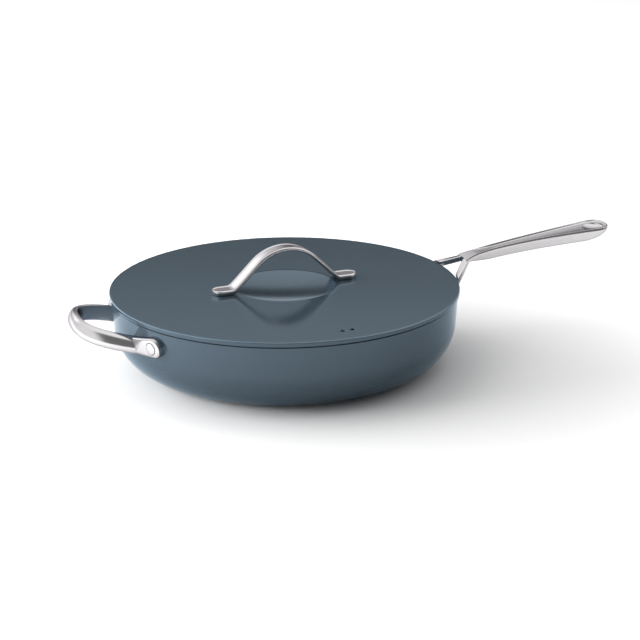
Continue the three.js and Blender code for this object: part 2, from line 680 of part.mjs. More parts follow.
// One half of the arch from the crown outwards: the middle of the strap and its slope.
function archHalf() {
  const crown = ARCH_HEIGHT - ARCH_STRAP / 2;
  const foot = ARCH_FOOT / 2;
  const radii = ARCH_CROWN_RADIUS + ARCH_FOOT_RADIUS;
  const lift = radii - (crown - foot);
  const flank = Math.sqrt(footStart ** 2 + lift ** 2 - radii ** 2);
  const slope = Math.atan2(footStart, lift) - Math.atan2(flank, radii);
  const crownArc = arc([0, crown - ARCH_CROWN_RADIUS], ARCH_CROWN_RADIUS, Math.PI / 2, Math.PI / 2 - slope);
  const footArc = arc([footStart, foot + ARCH_FOOT_RADIUS], ARCH_FOOT_RADIUS,
    -Math.PI / 2 - slope, -Math.PI / 2);
  const ends = roundEnd().map((share) => ARCH_SPAN / 2 + (ARCH_FOOT_WIDTH / 2) * share);
  return [
    ...crownArc.map(([u, z], i) => ({ u, z, slope: (slope * i) / ARC_STEPS })),
    ...footArc.map(([u, z], i) => ({ u, z, slope: slope * (1 - i / ARC_STEPS) })),
    ...ends.map((u) => ({ u, z: foot, slope: 0 })),
  ];
}

// Section across the strap: a shallow hollow between two rounded edges.
function archSection(half, thickness) {
  const shrink = Math.min(1, (half * BEVEL_RATIO) / ARCH_EDGE_ROUND);
  const round = ARCH_EDGE_ROUND * shrink;
  const under = ARCH_UNDER_BEVEL * shrink;
  const hollow = ARCH_HOLLOW * shrink;
  const edge = half - round;
  const t = thickness / 2;
  const right = [[half, -t + under], ...arc([edge, t - round], round, 0, Math.PI / 2, EDGE_STEPS)];
  const floor = HOLLOW_SHARES.map((share) => [edge * share, t - hollow * (1 - share ** 2)]);
  const left = right.map(([y, z]) => [-y, z]).reverse();
  return [...right, ...floor, ...left, [-half + under, -t], [half - under, -t]];
}

function archStrap() {
  const half = archHalf();
  const path = [...half.slice(1).reverse().map(({ u, z, slope }) => ({ u: -u, z, slope: -slope })), ...half];
  const across = new THREE.Vector3(0, 1, 0);
  const rings = path.map(({ u, z, slope }) => {
    const reach = Math.min(1, Math.abs(u) / (ARCH_SPAN / 2));
    const round = Math.max(0, (Math.abs(u) - ARCH_SPAN / 2) / (footEnd - ARCH_SPAN / 2));
    const width = ARCH_CROWN_WIDTH + (ARCH_FOOT_WIDTH - ARCH_CROWN_WIDTH) * reach ** 2;
    const footing = THREE.MathUtils.smoothstep(Math.abs(u), footStart - ARCH_FOOT_BLEND, footStart);
    const thickness = ARCH_STRAP + (ARCH_FOOT - ARCH_STRAP) * footing;
    const up = new THREE.Vector3(Math.sin(slope), 0, Math.cos(slope));
    const section = archSection((width / 2) * Math.sqrt(1 - round ** 2), thickness);
    return ringAt(new THREE.Vector3(u, 0, z), across, up, section);
  });
  return loft(rings);
}

function lidHandle() {
  const bossFoot = -SEAT_GAP - LID_PLATE + BOSS_SHORT;
  const feet = [-1, 1].map((side) => (side * ARCH_SPAN) / 2);
  const bosses = feet.map((u) => drill(BOSS_RADIUS, bossFoot, ARCH_FOOT / 2).translate(u, 0, 0));
  const tapped = feet.map((u) => drill(SCREW_RADIUS + HOLE_CLEARANCE, bossFoot - MARGIN,
    SCREW_DEPTH - LID_PLATE).translate(u, 0, 0));
  return toGeometry(cut(join([archStrap(), ...bosses]), tapped));
}

// Screws and washers under the lid

const washerTop = -LID_PLATE - SEAT_GAP;
const headTop = washerTop - WASHER_THICKNESS - SEAT_GAP;

function lidScrew() {
  const headFoot = headTop - SCREW_HEAD_HEIGHT;
  const body = revolve([
    [0, headFoot],
    [SCREW_HEAD_RADIUS - SCREW_HEAD_CHAMFER, headFoot],
    [SCREW_HEAD_RADIUS, headFoot + SCREW_HEAD_CHAMFER],
    [SCREW_HEAD_RADIUS, headTop],
    [SCREW_RADIUS, headTop],
    [SCREW_RADIUS, SCREW_DEPTH - LID_PLATE - SEAT_GAP],
    [0, SCREW_DEPTH - LID_PLATE - SEAT_GAP],
  ], SMALL_STEPS);
  const socket = drill(SCREW_SOCKET_RADIUS, headFoot - MARGIN, headFoot + SCREW_SOCKET_DEPTH,
    SCREW_SOCKET_SIDES);
  return toGeometry(cut(toSolid(body), [socket]));
}

function lidWasher() {
  const bottom = washerTop - WASHER_THICKNESS;
  const hole = SCREW_RADIUS + HOLE_CLEARANCE;
  return revolve([
    [hole, bottom],
    [WASHER_RADIUS, bottom],
    [WASHER_RADIUS, washerTop],
    [hole, washerTop],
    [hole, bottom],
  ], SMALL_STEPS);
}

// Assembly

const pan = new THREE.Group();
pan.add(part('pan_body', panBody(), coating));
pan.add(part('base_disc', baseDisc(), plainSteel));
pan.add(part('long_handle', longHandle(), steel));
pan.add(...rivets('long_handle_rivet', handleRivets));
pan.add(part('helper_handle', helperHandle(), steel));
pan.add(...rivets('helper_handle_rivet', helperRivets));

const lid = new THREE.Group();
lid.position.z = lidTop;
lid.rotation.z = LID_TURN;
lid.add(part('lid', lidBody(), coating));
const arch = part('lid_handle', lidHandle(), steel);
arch.position.z = SEAT_GAP;
lid.add(arch);
for (const [side, sign] of [['left', -1], ['right', 1]]) {
  const screw = part(`lid_handle_screw_${side}`, lidScrew(), plainSteel);
  const washer = part(`lid_handle_washer_${side}`, lidWasher(), plainSteel);
  screw.position.x = (sign * ARCH_SPAN) / 2;
  washer.position.x = (sign * ARCH_SPAN) / 2;
  lid.add(screw, washer);
}

const group = new THREE.Group();
group.add(pan, lid);

export default group;
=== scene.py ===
"""Deep saute pan with a flat lid: the visible pieces and the studio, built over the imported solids."""

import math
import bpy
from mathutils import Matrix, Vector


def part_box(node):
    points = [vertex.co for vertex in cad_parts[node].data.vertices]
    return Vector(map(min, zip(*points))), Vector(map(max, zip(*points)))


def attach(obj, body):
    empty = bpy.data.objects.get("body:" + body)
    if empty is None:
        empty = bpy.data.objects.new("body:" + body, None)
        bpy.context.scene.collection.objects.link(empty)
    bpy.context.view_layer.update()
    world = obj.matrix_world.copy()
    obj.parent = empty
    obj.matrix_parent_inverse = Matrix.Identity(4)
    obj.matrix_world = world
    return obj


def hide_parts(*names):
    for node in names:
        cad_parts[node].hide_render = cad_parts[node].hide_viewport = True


bl_info = {
    "name": "Deep Saute Pan",
    "version": (1, 0, 0),
    "blender": (4, 5, 0),
    "location": "View3D > Sidebar > Saute Pan",
    "description": "Builds a lidded saute pan with cast handles and the studio that it stands in",
    "category": "Add Mesh",
}

import bmesh
import bpy
from bpy.props import FloatProperty, FloatVectorProperty, IntProperty, PointerProperty
from mathutils import Matrix, Vector

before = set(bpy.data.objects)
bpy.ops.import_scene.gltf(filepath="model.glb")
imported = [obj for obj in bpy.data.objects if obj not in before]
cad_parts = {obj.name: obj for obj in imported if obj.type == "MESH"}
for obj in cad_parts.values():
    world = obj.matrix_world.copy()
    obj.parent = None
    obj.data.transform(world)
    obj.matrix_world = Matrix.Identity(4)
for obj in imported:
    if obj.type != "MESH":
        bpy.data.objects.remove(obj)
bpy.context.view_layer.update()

MM = 0.001
UP = Vector((0, 0, 1))
SIDEWAYS = Vector((0, 1, 0))
HALF_TURN = math.pi
QUARTER_TURN = math.pi / 2
LID_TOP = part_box("lid")[1].z
RIM_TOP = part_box("pan_body")[1].z

# Steps round small turned pieces, round holes and bosses, and along the corner of the pan
SMALL_STEPS = 48
HOLE_STEPS = 40
CORNER_STEPS = 28

# Rounding of edges that look sharp, and the most of a half width that an edge may take
CRISP = 0.3 * MM
EDGE_SHARE = 0.45

# Round ends stop a little short, so that their last ring has a size: two turns just under
# a quarter, and the share of the tip's outline that is left open
PAD_END = 1.555
FOOT_END = 1.56
TIP_OPEN = 0.0005

# Sockets of a Mix node that mixes colours
MIX_FACTOR = 0
MIX_FIRST = 6
MIX_SECOND = 7
MIX_RESULT = 2


# Property helpers


def length(description, millimetres):
    return FloatProperty(description=description, default=millimetres * MM, precision=5, unit="LENGTH")


def angle(description, degrees):
    return FloatProperty(description=description, default=math.radians(degrees), unit="ROTATION")


def share(description, value):
    return FloatProperty(description=description, default=value, subtype="FACTOR")


def number(description, value):
    return FloatProperty(description=description, default=value)


def colour(description, value):
    return FloatVectorProperty(description=description, default=value, subtype="COLOR", min=0, max=1)


def location(description, metres):
    return FloatVectorProperty(description=description, default=metres, precision=4, unit="LENGTH")


def count(description, value):
    return IntProperty(description=description, default=value, min=3)


def labelled(group):
    """Gives each property of a group its own name in plain words."""
    for key, field in group.__annotations__.items():
        field.keywords["name"] = key.replace("_", " ").capitalize()
    return group


# Sizes and colours that a user would change


@labelled
class PanSizes(bpy.types.PropertyGroup):
    """Sizes of the pan body, its base disc and the rivets in its wall."""

    rim_radius: length("Outside of the wall at the rim", 153.5)
    height: length("Table to rim", RIM_TOP / MM)
    wall: length("Thickness of the wall", 2.6)
    flare: angle("Lean of the wall away from the axis", 3.4)
    corner: length("Outside radius from the wall to the base", 39.5)
    floor: length("Thickness of the floor", 3.6)
    rim_step: length("Height of the step under the edge of the lid", 1.1)
    rim_inset: length("Depth of that step", 1.2)
    rim_round: length("Rounding of the outer edge of the step", 0.3)
    rim_inner_round: length("Rounding of the inner edge of the rim", 0.9)
    base_lift: length("Height of the underside round the base disc", 0.4)
    disc_radius: length("Radius of the base disc", 104)
    disc_thickness: length("Thickness of the base disc", 1.6)
    disc_rounding: length("Rounding of the base disc's lower edge", 0.5)
    seat_gap: length("Gap between two pieces that seat on each other", 0.3)
    rivet_shank: length("Radius of a rivet's shank", 3.0)
    rivet_head: length("Radius of a rivet's outer head", 5.2)
    rivet_head_thickness: length("Straight part of a rivet's head", 1.5)
    rivet_dome: length("Rise of a rivet's outer head", 0.4)
    rivet_round: length("Rounding of a rivet's outer head", 0.35)
    rivet_seat: length("Depth of the round seat of a rivet's head", 1.4)
    rivet_ring: length("Open ring round a rivet's head", 0.5)
    rivet_inner: length("Radius of a rivet's head inside the pan", 5.6)
    rivet_inner_dome: length("Rise of a rivet's head inside the pan", 1.9)
    steps: count("Steps round the pan and the lid", 192)


@labelled
class LongHandleSizes(bpy.types.PropertyGroup):
    """Sizes of the forked long handle."""

    reach: length("Edge of the lid to the tip", 159)
    crotch_reach: length("Edge of the lid to the inside of the fork", 15.5)
    neck_reach: length("Edge of the lid to the narrowest place", 45)
    crotch_rise: length("Rim to the top of the fork", 13.2)
    tip_rise: length("Rim to the top of the tip", 32.8)
    fork_slope: angle("Climb of the top edge at the fork", 29)
    fork_pull: share("How long the fork's slope holds", 0.42)
    tip_slope: angle("Climb of the top edge at the tip", 4.3)
    tip_pull: share("How long the tip's slope holds", 0.6)
    fork_width: length("Width of the shank at the fork", 21.6)
    neck_width: length("Width of the shank at the neck", 13.6)
    tip_width: length("Width of the shank at the tip", 31.4)
    fork_width_power: number("Power of the widening to the fork", 3.5)
    tip_width_power: number("Power of the widening to the tip", 1.5)
    neck_depth: length("Depth of the shank at the neck", 11.4)
    tip_depth: length("Depth of the shank before the tip", 14)
    fork_depth_power: number("Power of the thinning to the fork", 1.6)
    neck_bevel: length("Width of the edges' bevel at the neck", 0.6)
    tip_bevel: length("Width of the edges' bevel at the tip", 0.85)
    bevel_drop: number("Height of that bevel for each unit of its width", 2.4)
    channel_depth: length("Hollow along the top", 2.2)
    channel_edge: length("Flat top of each edge", 0.7)
    channel_fade: length("Length over which the hollow runs out", 18.5)
    tip_rounding: length("Length over which the tip rounds off", 13)
    tip_plan_power: number("Power of the tip's outline in plan", 2.4)
    tip_undercut: length("Length over which the underside rises", 25)
    tip_lift: share("Share of the depth that the undercut takes", 0.62)
    scoop_length: length("Length of the thumb scoop", 24)
    scoop_width: length("Width of the thumb scoop", 22)
    scoop_depth: length("Depth of the thumb scoop", 4.2)
    scoop_tilt: angle("Fall of the scoop towards the tip", 12)
    scoop_from_tip: length("Tip to the middle of the scoop", 15)
    crotch_half: length("Half width of the inside of the fork", 3)
    leg_width: length("Width of a leg", 6.1)
    leg_height: length("Height of a leg at the fork", 5.4)
    leg_root_height: length("Height of a leg at the wall", 6.2)
    leg_bevel: length("Bevel of a leg's outer edges", 1.1)
    leg_spread: length("Between the legs at the edge of the lid", 37.2)
    leg_rise: length("Rim to a leg's inner edge at the edge of the lid", 4.5)
    leg_twist: angle("Inward lean of a leg's top face at the wall", 30)
    leg_root: length("Run of a leg inside the shank", 8)
    leg_sink: length("Top of a leg below the shank at its root", 1.8)
    leg_overrun: share("Run of a leg past the edge of the lid", 0.5)
    leg_clearance: length("Legs to the edge of the lid as it lifts", 2)
    rivet_spacing: length("Between the rivets", 46)
    rivet_drop: length("Rim to the rivets", 15.3)
    pad_width: length("Width of a pad", 16)
    pad_thickness: length("Thickness of a pad", 3.8)
    pad_bevel: length("Rounding of a pad's edges", 1.6)


@labelled
class HelperSizes(bpy.types.PropertyGroup):
    """Sizes of the looped helper handle."""

    reach: length("Wall to the inside of the loop", 32.3)
    width: length("Between the legs, inside", 82)
    corner: length("Half width of the flat front, inside", 22.5)
    bend: share("Where a leg starts to bend", 0.86)
    toe_in: length("How far a leg leans inwards by its bend", 1)
    drop: length("Rim to the middle of the strap at the wall", 18.5)
    strap: length("Height of the strap", 14.3)
    thickness: length("Flat inside to the crown of the outside, at the front", 9)
    root_thickness: length("The same where a leg swells into its pad", 13.5)
    swell_power: number("How soon that swelling dies away", 2)
    shoulder: length("Outermost line of the strap to the edge of its top", 3.8)
    top_slope: angle("Fall of the strap's top towards the outside", 4)
    fullness: share("Bulge of the strap's outside, as a share of its shoulder", 0.1)
    fullest_drop: share("Drop of that bulge, as a share of the strap's half height", 0.3)
    underside: share("Width of the strap's underside, as a share of its thickness", 0.6)
    crowning: length("Bulge of the strap's inside", 0.7)
    edge_round: length("Rounding of the strap's inner edges", 1.2)
    lift: angle("Upward tilt of the loop", 14.7)
    rivet_spacing: length("Between the rivets", 141)
    rivet_drop: length("Rim to the rivets", 15)
    pad_height: length("Height of a pad at its rivet", 17.6)
    pad_thickness: length("Thickness of a pad", 5)
    pad_rise: length("Middle of a pad's end above its rivet", 0.2)
    pad_root: length("Height of a pad where the leg leaves it", 13)
    pad_beyond: length("Straight run of a pad past its rivet", 1)
    pad_round: length("Rounding of a pad's edges", 3.2)


@labelled
class LidSizes(bpy.types.PropertyGroup):
    """Sizes of the lid, its arched handle and the screws and washers under it."""

    overhang: length("Edge of the lid beyond the rim", 1.5)
    edge: length("Height of the lid's edge", 3.6)
    plate: length("Thickness of the plate", 3.0)
    rounding: length("Rounding of the top edge", 0.9)
    turn: angle("Turn of the lid as it lies on the pan", 5.2)
    dish_radius: length("Radius of the dish under the handle", 45)
    dish_depth: length("Depth of the dish", 2.8)
    shoulder: length("Rise of the pressed edge round the dish", 0.09)
    shoulder_width: length("Half width of the pressed edge", 1.3)
    skirt_depth: length("Drop of the skirt inside the rim", 7)
    skirt_thickness: length("Thickness of the skirt", 1.8)
    skirt_clearance: length("Skirt to the wall", 1.0)
    vent_radius: length("Radius of a steam vent", 2.1)
    vent_flare: length("Chamfer round a steam vent", 0.55)
    vent_spacing: length("Between the steam vents", 8.8)
    vent_distance: length("Axis to the steam vents", 134)
    arch_span: length("Between the screws", 119.6)
    arch_height: length("Lid to the top of the crown", 36.2)
    crown_radius: length("Bend of the crown", 39.8)
    foot_radius: length("Bend into a foot", 7.5)
    foot_run: length("Screw to the start of the bend", 7)
    foot_blend: length("Length over which the strap thickens", 10.5)
    strap: length("Thickness of the strap", 3.1)
    foot: length("Thickness of a foot", 4.2)
    crown_width: length("Width of the strap at the crown", 16.4)
    foot_width: length("Width of a foot", 17.6)
    edge_round: length("Rounding of the strap's top edges", 2.0)
    hollow: length("Depth of the flat channel along the strap's top", 0.45)
    hollow_rise: share("Share of the channel's half width in which it rises", 0.3)
    side_taper: length("Taper of each side of the strap towards its underside", 0.65)
    boss: length("Radius of the boss under a foot", 4.2)
    screw: length("Radius of a screw", 2.0)
    screw_depth: length("Reach of a screw above the lid's underside", 4.6)
    screw_head: length("Radius of a screw's head", 4.2)
    screw_head_height: length("Height of a screw's head", 2.4)
    screw_rounding: length("Rounding of a screw's head", 0.8)
    socket: length("Radius of a screw's socket", 1.7)
    socket_depth: length("Depth of a screw's socket", 1.4)
    washer: length("Radius of a washer", 7)
    washer_thickness: length("Thickness of a washer", 1.0)


@labelled
class Finishes(bpy.types.PropertyGroup):
    """Colours and gloss of the finishes."""

    coat: colour("Slate hard coat", (0.073, 0.102, 0.128))
    coat_edge: colour("Tint of the hard coat seen at a low angle", (0.72, 0.875, 1.0))
    # Lightening of the coat on the lid's edge: a painted highlight
    painted_highlight_lift: number("How much lighter the hard coat is on the edge of the lid", 2.2)
    coat_metal: share("Metallic part of the hard coat", 0.6)
    coat_roughness: share("Roughness of the hard coat", 0.13)
    inside: colour("Cooking surface inside the pan", (0.03, 0.036, 0.042))
    inside_roughness: share("Roughness of the cooking surface", 0.42)
    steel: colour("Polished cast steel", (0.72, 0.705, 0.715))
    steel_edge: colour("Tint of the steel seen at a low angle", (0.36, 0.34, 0.37))
    steel_roughness: share("Roughness of the cast steel", 0.22)
    plain: colour("Turned steel of the base, screws and washers", (0.44, 0.435, 0.43))
    plain_roughness: share("Roughness of the turned steel", 0.36)


@labelled
class StudioSettings(bpy.types.PropertyGroup):
    """The floor, the lamps and the camera."""

    floor_size: length("Width of the floor", 14000)
    floor_drop: length("Gap between the floor and the base", 0.2)
    floor_colour: colour("Colour of the floor", (0.95, 0.95, 0.95))
    floor_glow: share("White that the floor adds in view and in reflections", 0.2)
    glow_start: length("Distance from the axis at which the floor's glow begins", 170)
    glow_width: length("Distance over which the floor's glow comes up", 160)
    room: share("Light of the dark front of the room", 0.17)
    side: number("Light of the white left side of the room", 0.95)
    key_power: number("Power of the soft lamp on the left", 60)
    back_power: number("Power of the soft lamp behind on the left", 3)
    lens: number("Focal length in millimetres", 100)
    sensor: number("Width of the sensor in millimetres", 36)
    camera: location("Place of the camera", (-0.4472, -1.4358, 0.5439))
    view_turn: angle("Turn of the camera about the vertical", -18.487)
    view_tilt: angle("Tilt of the camera up from straight down", 71.315)
    view_roll: angle("Roll of the camera about its own line of view", -0.283)


class SautePan(bpy.types.PropertyGroup):
    """All settings of the pan."""

    pan: PointerProperty(type=PanSizes)
    long_handle: PointerProperty(type=LongHandleSizes)
    helper: PointerProperty(type=HelperSizes)
    lid: PointerProperty(type=LidSizes)
    finishes: PointerProperty(type=Finishes)
    studio: PointerProperty(type=StudioSettings)


def settings():
    return bpy.context.scene.saute_pan


# Points, rings and skins


def arc(centre, radius, start, end, steps):
    """Points of an arc about a centre, both ends included."""
    turns = [start + (end - start) * i / steps for i in range(steps + 1)]
    return [(centre[0] + radius * math.cos(t), centre[1] + radius * math.sin(t)) for t in turns]


def lower_edge(radius, height, soft, steps):
    """The rounded outer edge of an underside."""
    return arc((radius - soft, height + soft), soft, -QUARTER_TURN, 0, steps)


def upper_edge(radius, height, soft, steps):
    """The rounded outer edge of a top."""
    return arc((radius - soft, height - soft), soft, 0, QUARTER_TURN, steps)


def mixed(low, high, part):
    return low + (high - low) * part


def clamped(value):
    return min(1.0, max(0.0, value))


def eased(value):
    part = clamped(value)
    return part * part * (3 - 2 * part)


def rounded(corners, steps):
    """A closed outline with each corner (x, y, radius) rounded off; a radius of 0 keeps the point."""
    points = []
    for i, (x, y, radius) in enumerate(corners):
        here = Vector((x, y))
        if radius <= 0:
            points.append((x, y))
            continue
        before = Vector(corners[i - 1][:2]) - here
        after = Vector(corners[(i + 1) % len(corners)][:2]) - here
        start = here + before * min(0.48, radius / max(before.length, 1e-9))
        end = here + after * min(0.48, radius / max(after.length, 1e-9))
        for k in range(steps + 1):
            t = k / steps
            point = start * (1 - t) ** 2 + here * (2 * t * (1 - t)) + end * t * t
            points.append((point.x, point.y))
    return points


def ring_at(point, across, along, section):
    return [point + across * a + along * b for a, b in section]


def bezier(points, t):
    a, b, c, d = points
    s = 1 - t
    return a * s**3 + b * (3 * s * s * t) + c * (3 * s * t * t) + d * t**3


def bezier_slope(points, t):
    a, b, c, d = points
    s = 1 - t
    return (b - a) * (3 * s * s) + (c - b) * (6 * s * t) + (d - c) * (3 * t * t)


def through(points, fine=60):
    """A dense curve through points, drawn tighter where they lie close together."""
    ends = [points[0] * 2 - points[1], *points, points[-1] * 2 - points[-2]]
    line = []
    for a, b, c, d in zip(ends, ends[1:], ends[2:], ends[3:]):
        first, middle, last = [math.sqrt((q - p).length) for p, q in ((a, b), (b, c), (c, d))]
        start = (b - a) / first - (c - a) / (first + middle) + (c - b) / middle
        end = (c - b) / middle - (d - b) / (middle + last) + (d - c) / last
        for k in range(fine):
            t = k / fine
            near = b * (2 * t**3 - 3 * t**2 + 1) + c * (3 * t**2 - 2 * t**3)
            line.append(near + (start * (t**3 - 2 * t**2 + t) + end * (t**3 - t**2)) * middle)
    return [*line, points[-1]]


def evenly(line, steps):
    """Points at equal distances along a dense line."""
    lengths = [0.0]
    for a, b in zip(line, line[1:]):
        lengths.append(lengths[-1] + (b - a).length)
    points = []
    place = 0
    for i in range(steps + 1):
        goal = lengths[-1] * i / steps
        while place < len(lengths) - 2 and lengths[place + 1] < goal:
            place += 1
        part = (goal - lengths[place]) / max(lengths[place + 1] - lengths[place], 1e-12)
        points.append(line[place].lerp(line[place + 1], clamped(part)))
    return points


def lathe(profile, steps):
    """Vertices and faces of a profile of (radius, height) turned about Z."""
    closed = profile[0] == profile[-1]
    outline = profile[:-1] if closed else profile
    rows = []
    vertices = []
    for radius, height in outline:
        if radius < 1e-9:
            rows.append([len(vertices)])
            vertices.append((0.0, 0.0, height))
            continue
        rows.append(list(range(len(vertices), len(vertices) + steps)))
        for k in range(steps):
            turn = 2 * math.pi * k / steps
            vertices.append((radius * math.cos(turn), radius * math.sin(turn), height))
    faces = []
    pairs = list(zip(rows, rows[1:]))
    if closed:
        pairs.append((rows[-1], rows[0]))
    for low, high in pairs:
        for k in range(steps):
            j = (k + 1) % steps
            corners = [low[k % len(low)], low[j % len(low)], high[j % len(high)], high[k % len(high)]]
            corners = list(dict.fromkeys(corners))
            if len(corners) > 2:
                faces.append(corners)
    return vertices, faces


def skin(rings):
    """Vertices and faces of a row of rings, closed at both ends."""
    size = len(rings[0])
    vertices = [point for ring in rings for point in ring]
    faces = []
    for i in range(len(rings) - 1):
        for j in range(size):
            k = (j + 1) % size
            faces.append([i * size + j, i * size + k, (i + 1) * size + k, (i + 1) * size + j])
    for start in (0, (len(rings) - 1) * size):
        centre = sum((Vector(vertices[start + j]) for j in range(size)), Vector()) / size
        vertices.append(centre)
        faces += [[len(vertices) - 1, start + j, start + (j + 1) % size] for j in range(size)]
    return vertices, faces


def mirrored(rings):
    return [[Vector((p.x, -p.y, p.z)) for p in ring] for ring in rings]


# Objects


def solid(name, skinned, place=None):
    """A closed mesh object with its faces pointing out."""
    vertices, faces = skinned
    mesh = bpy.data.meshes.new(name)
    mesh.from_pydata([tuple(v) for v in vertices], [], faces)
    if place is not None:
        mesh.transform(place)
    work = bmesh.new()
    work.from_mesh(mesh)
    bmesh.ops.remove_doubles(work, verts=work.verts, dist=1e-7)
    bmesh.ops.recalc_face_normals(work, faces=work.faces)
    work.to_mesh(mesh)
    work.free()
    piece = bpy.data.objects.new(name, mesh)
    bpy.context.scene.collection.objects.link(piece)
    return piece


def combine(piece, others, operation):
    """Joins others to a piece, or cuts them out of it, and removes them."""
    for other in others:
        step = piece.modifiers.new("combine", "BOOLEAN")
        step.operation = operation
        step.solver = "EXACT"
        step.object = other
        graph = bpy.context.evaluated_depsgraph_get()
        made = bpy.data.meshes.new_from_object(piece.evaluated_get(graph))
        piece.modifiers.clear()
        old = piece.data
        piece.data = made
        made.name = piece.name
        bpy.data.meshes.remove(old)
        bpy.data.objects.remove(other)
        if not made.polygons:
            raise RuntimeError(f"{piece.name} came out empty")
    return piece


def shade(piece, degrees):
    piece.data.shade_smooth()
    piece.data.set_sharp_from_angle(angle=math.radians(degrees))
    return piece


def place_on(piece, body, slot, materials, *nodes):
    """Gives a piece its finish and lets it stand for its solids."""
    piece.data.materials.clear()
    for material in materials:
        piece.data.materials.append(material)
    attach(piece, body)
    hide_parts(*nodes)


# Shader expressions


class Value:
    """A socket that takes part in Python expressions by adding Math nodes."""

    def __init__(self, graph, socket):
        self.graph = graph
        self.socket = socket

    def _with(self, operation, first, second):
        node = self.graph.add("ShaderNodeMath", {"operation": operation}, {0: first, 1: second})
        return node.out("Value")

    def __add__(self, other):
        return self._with("ADD", self, other)

    __radd__ = __add__

    def __mul__(self, other):
        return self._with("MULTIPLY", self, other)

    __rmul__ = __mul__

    def __sub__(self, other):
        return self._with("SUBTRACT", self, other)

    def __rsub__(self, other):
        return self._with("SUBTRACT", other, self)

    def __truediv__(self, other):
        return self._with("DIVIDE", self, other)

    def __rtruediv__(self, other):
        return self._with("DIVIDE", other, self)

    def apply(self, operation, other=0.0):
        return self._with(operation, self, other)

    def held(self):
        """The value held between 0 and 1."""
        return self.apply("MAXIMUM", 0.0).apply("MINIMUM", 1.0)


class Added:
    """A node that was added to a graph."""

    def __init__(self, graph, node):
        self.graph = graph
        self.node = node

    def out(self, name):
        return Value(self.graph, self.node.outputs[name])


class Graph:
    """The node tree of a material or of the world."""

    def __init__(self, owner):
        owner.use_nodes = True
        self.owner = owner
        self.tree = owner.node_tree
        self.tree.nodes.clear()

    def add(self, kind, choices=None, sockets=None):
        """Adds a node: its type, its settings and the values or links of its sockets."""
        node = self.tree.nodes.new(kind)
        for name, value in (choices or {}).items():
            if name == "stops":
                self.fill_ramp(node.color_ramp, value)
            else:
                setattr(node, name, value)
        for name, value in (sockets or {}).items():
            if isinstance(value, Value):
                self.tree.links.new(value.socket, node.inputs[name])
            else:
                node.inputs[name].default_value = value
        return Added(self, node)

    @staticmethod
    def fill_ramp(ramp, stops):
        while len(ramp.elements) < len(stops):
            ramp.elements.new(1.0)
        for element, (place, level) in zip(ramp.elements, stops):
            element.position = place
            element.color = (*level, 1.0)

    def own_place(self):
        return self.add("ShaderNodeTexCoord").out("Object")

    def on_vectors(self, operation, *vectors):
        """A Vector Math node."""
        return self.add("ShaderNodeVectorMath", {"operation": operation}, dict(enumerate(vectors)))

    def stretched(self, vector, factors):
        return self.on_vectors("MULTIPLY", vector, factors).out("Vector")

    def along(self, vector, direction):
        """How far a vector reaches along a direction."""
        return self.on_vectors("DOT_PRODUCT", vector, direction).out("Value")

    def length_of(self, vector):
        return self.on_vectors("LENGTH", vector).out("Value")

    def noise(self, vector, scale, detail):
        sockets = {"Vector": vector, "Scale": scale, "Detail": detail}
        return self.add("ShaderNodeTexNoise", None, sockets).out("Fac")

    def mix_colour(self, part, first, second):
        """Mixes two colours, each a tuple or a socket."""
        first, second = [c if isinstance(c, Value) else (*c, 1.0) for c in (first, second)]
        sockets = {MIX_FACTOR: part, MIX_FIRST: first, MIX_SECOND: second}
        return self.add("ShaderNodeMix", {"data_type": "RGBA"}, sockets).out(MIX_RESULT)

    def bump(self, height, strength):
        sockets = {"Strength": strength, "Distance": 0.2 * MM, "Height": height}
        return self.add("ShaderNodeBump", None, sockets).out("Normal")

    def varied(self, part, base, spread):
        """A colour that runs from darker to lighter by a part."""
        return self.mix_colour(part, tinted(base, 1 - spread), tinted(base, 1 + spread))

    def surface(self, sockets):
        """Ends a material with one shader and gives the material back."""
        shader = self.add("ShaderNodeBsdfPrincipled", None, sockets).out("BSDF")
        self.add("ShaderNodeOutputMaterial", None, {"Surface": shader})
        return self.owner


def grey(level):
    return (level, level, level)


def tinted(base, factor):
    return tuple(min(1.0, channel * factor) for channel in base)


# Finishes


def fresh(name):
    old = bpy.data.materials.get(name)
    if old:
        bpy.data.materials.remove(old)
    return bpy.data.materials.new(name)


def hard_coat(name, lift):
    """Slate hard coat: a fine matt grain under a soft gloss, a little uneven over the surface."""
    finish = settings().finishes
    graph = Graph(fresh(name))
    place = graph.own_place()
    grain = graph.noise(place, 2600.0, 2.0)
    cloud = graph.noise(place, 22.0, 3.0)
    # A lift above 1 lightens the tone: the painted highlight on the lid's edge
    tone = graph.varied(grain * 0.6 + cloud * 0.4, tinted(finish.coat, lift), 0.1)
    return graph.surface(
        {
            "Base Color": tone,
            "Metallic": finish.coat_metal,
            "Roughness": finish.coat_roughness + (grain - 0.5) * 0.08 + (cloud - 0.5) * 0.04,
            "Specular Tint": (*finish.coat_edge, 1.0),
            "Normal": graph.bump(grain, 0.05),
        }
    )


def cooking_coat():
    """Release coat inside the pan: darker, with fine pale flecks."""
    finish = settings().finishes
    graph = Graph(fresh("dark_cooking_coat"))
    place = graph.own_place()
    grain = graph.noise(place, 1900.0, 3.0)
    fleck = ((graph.noise(place, 900.0, 1.0) - 0.66) * 14.0).held()
    tone = graph.mix_colour(fleck, finish.inside, tinted(finish.inside, 4.0))
    return graph.surface(
        {
            "Base Color": tone,
            "Metallic": 0.1,
            "Roughness": finish.inside_roughness + (grain - 0.5) * 0.1,
            "Normal": graph.bump(grain, 0.08),
        }
    )


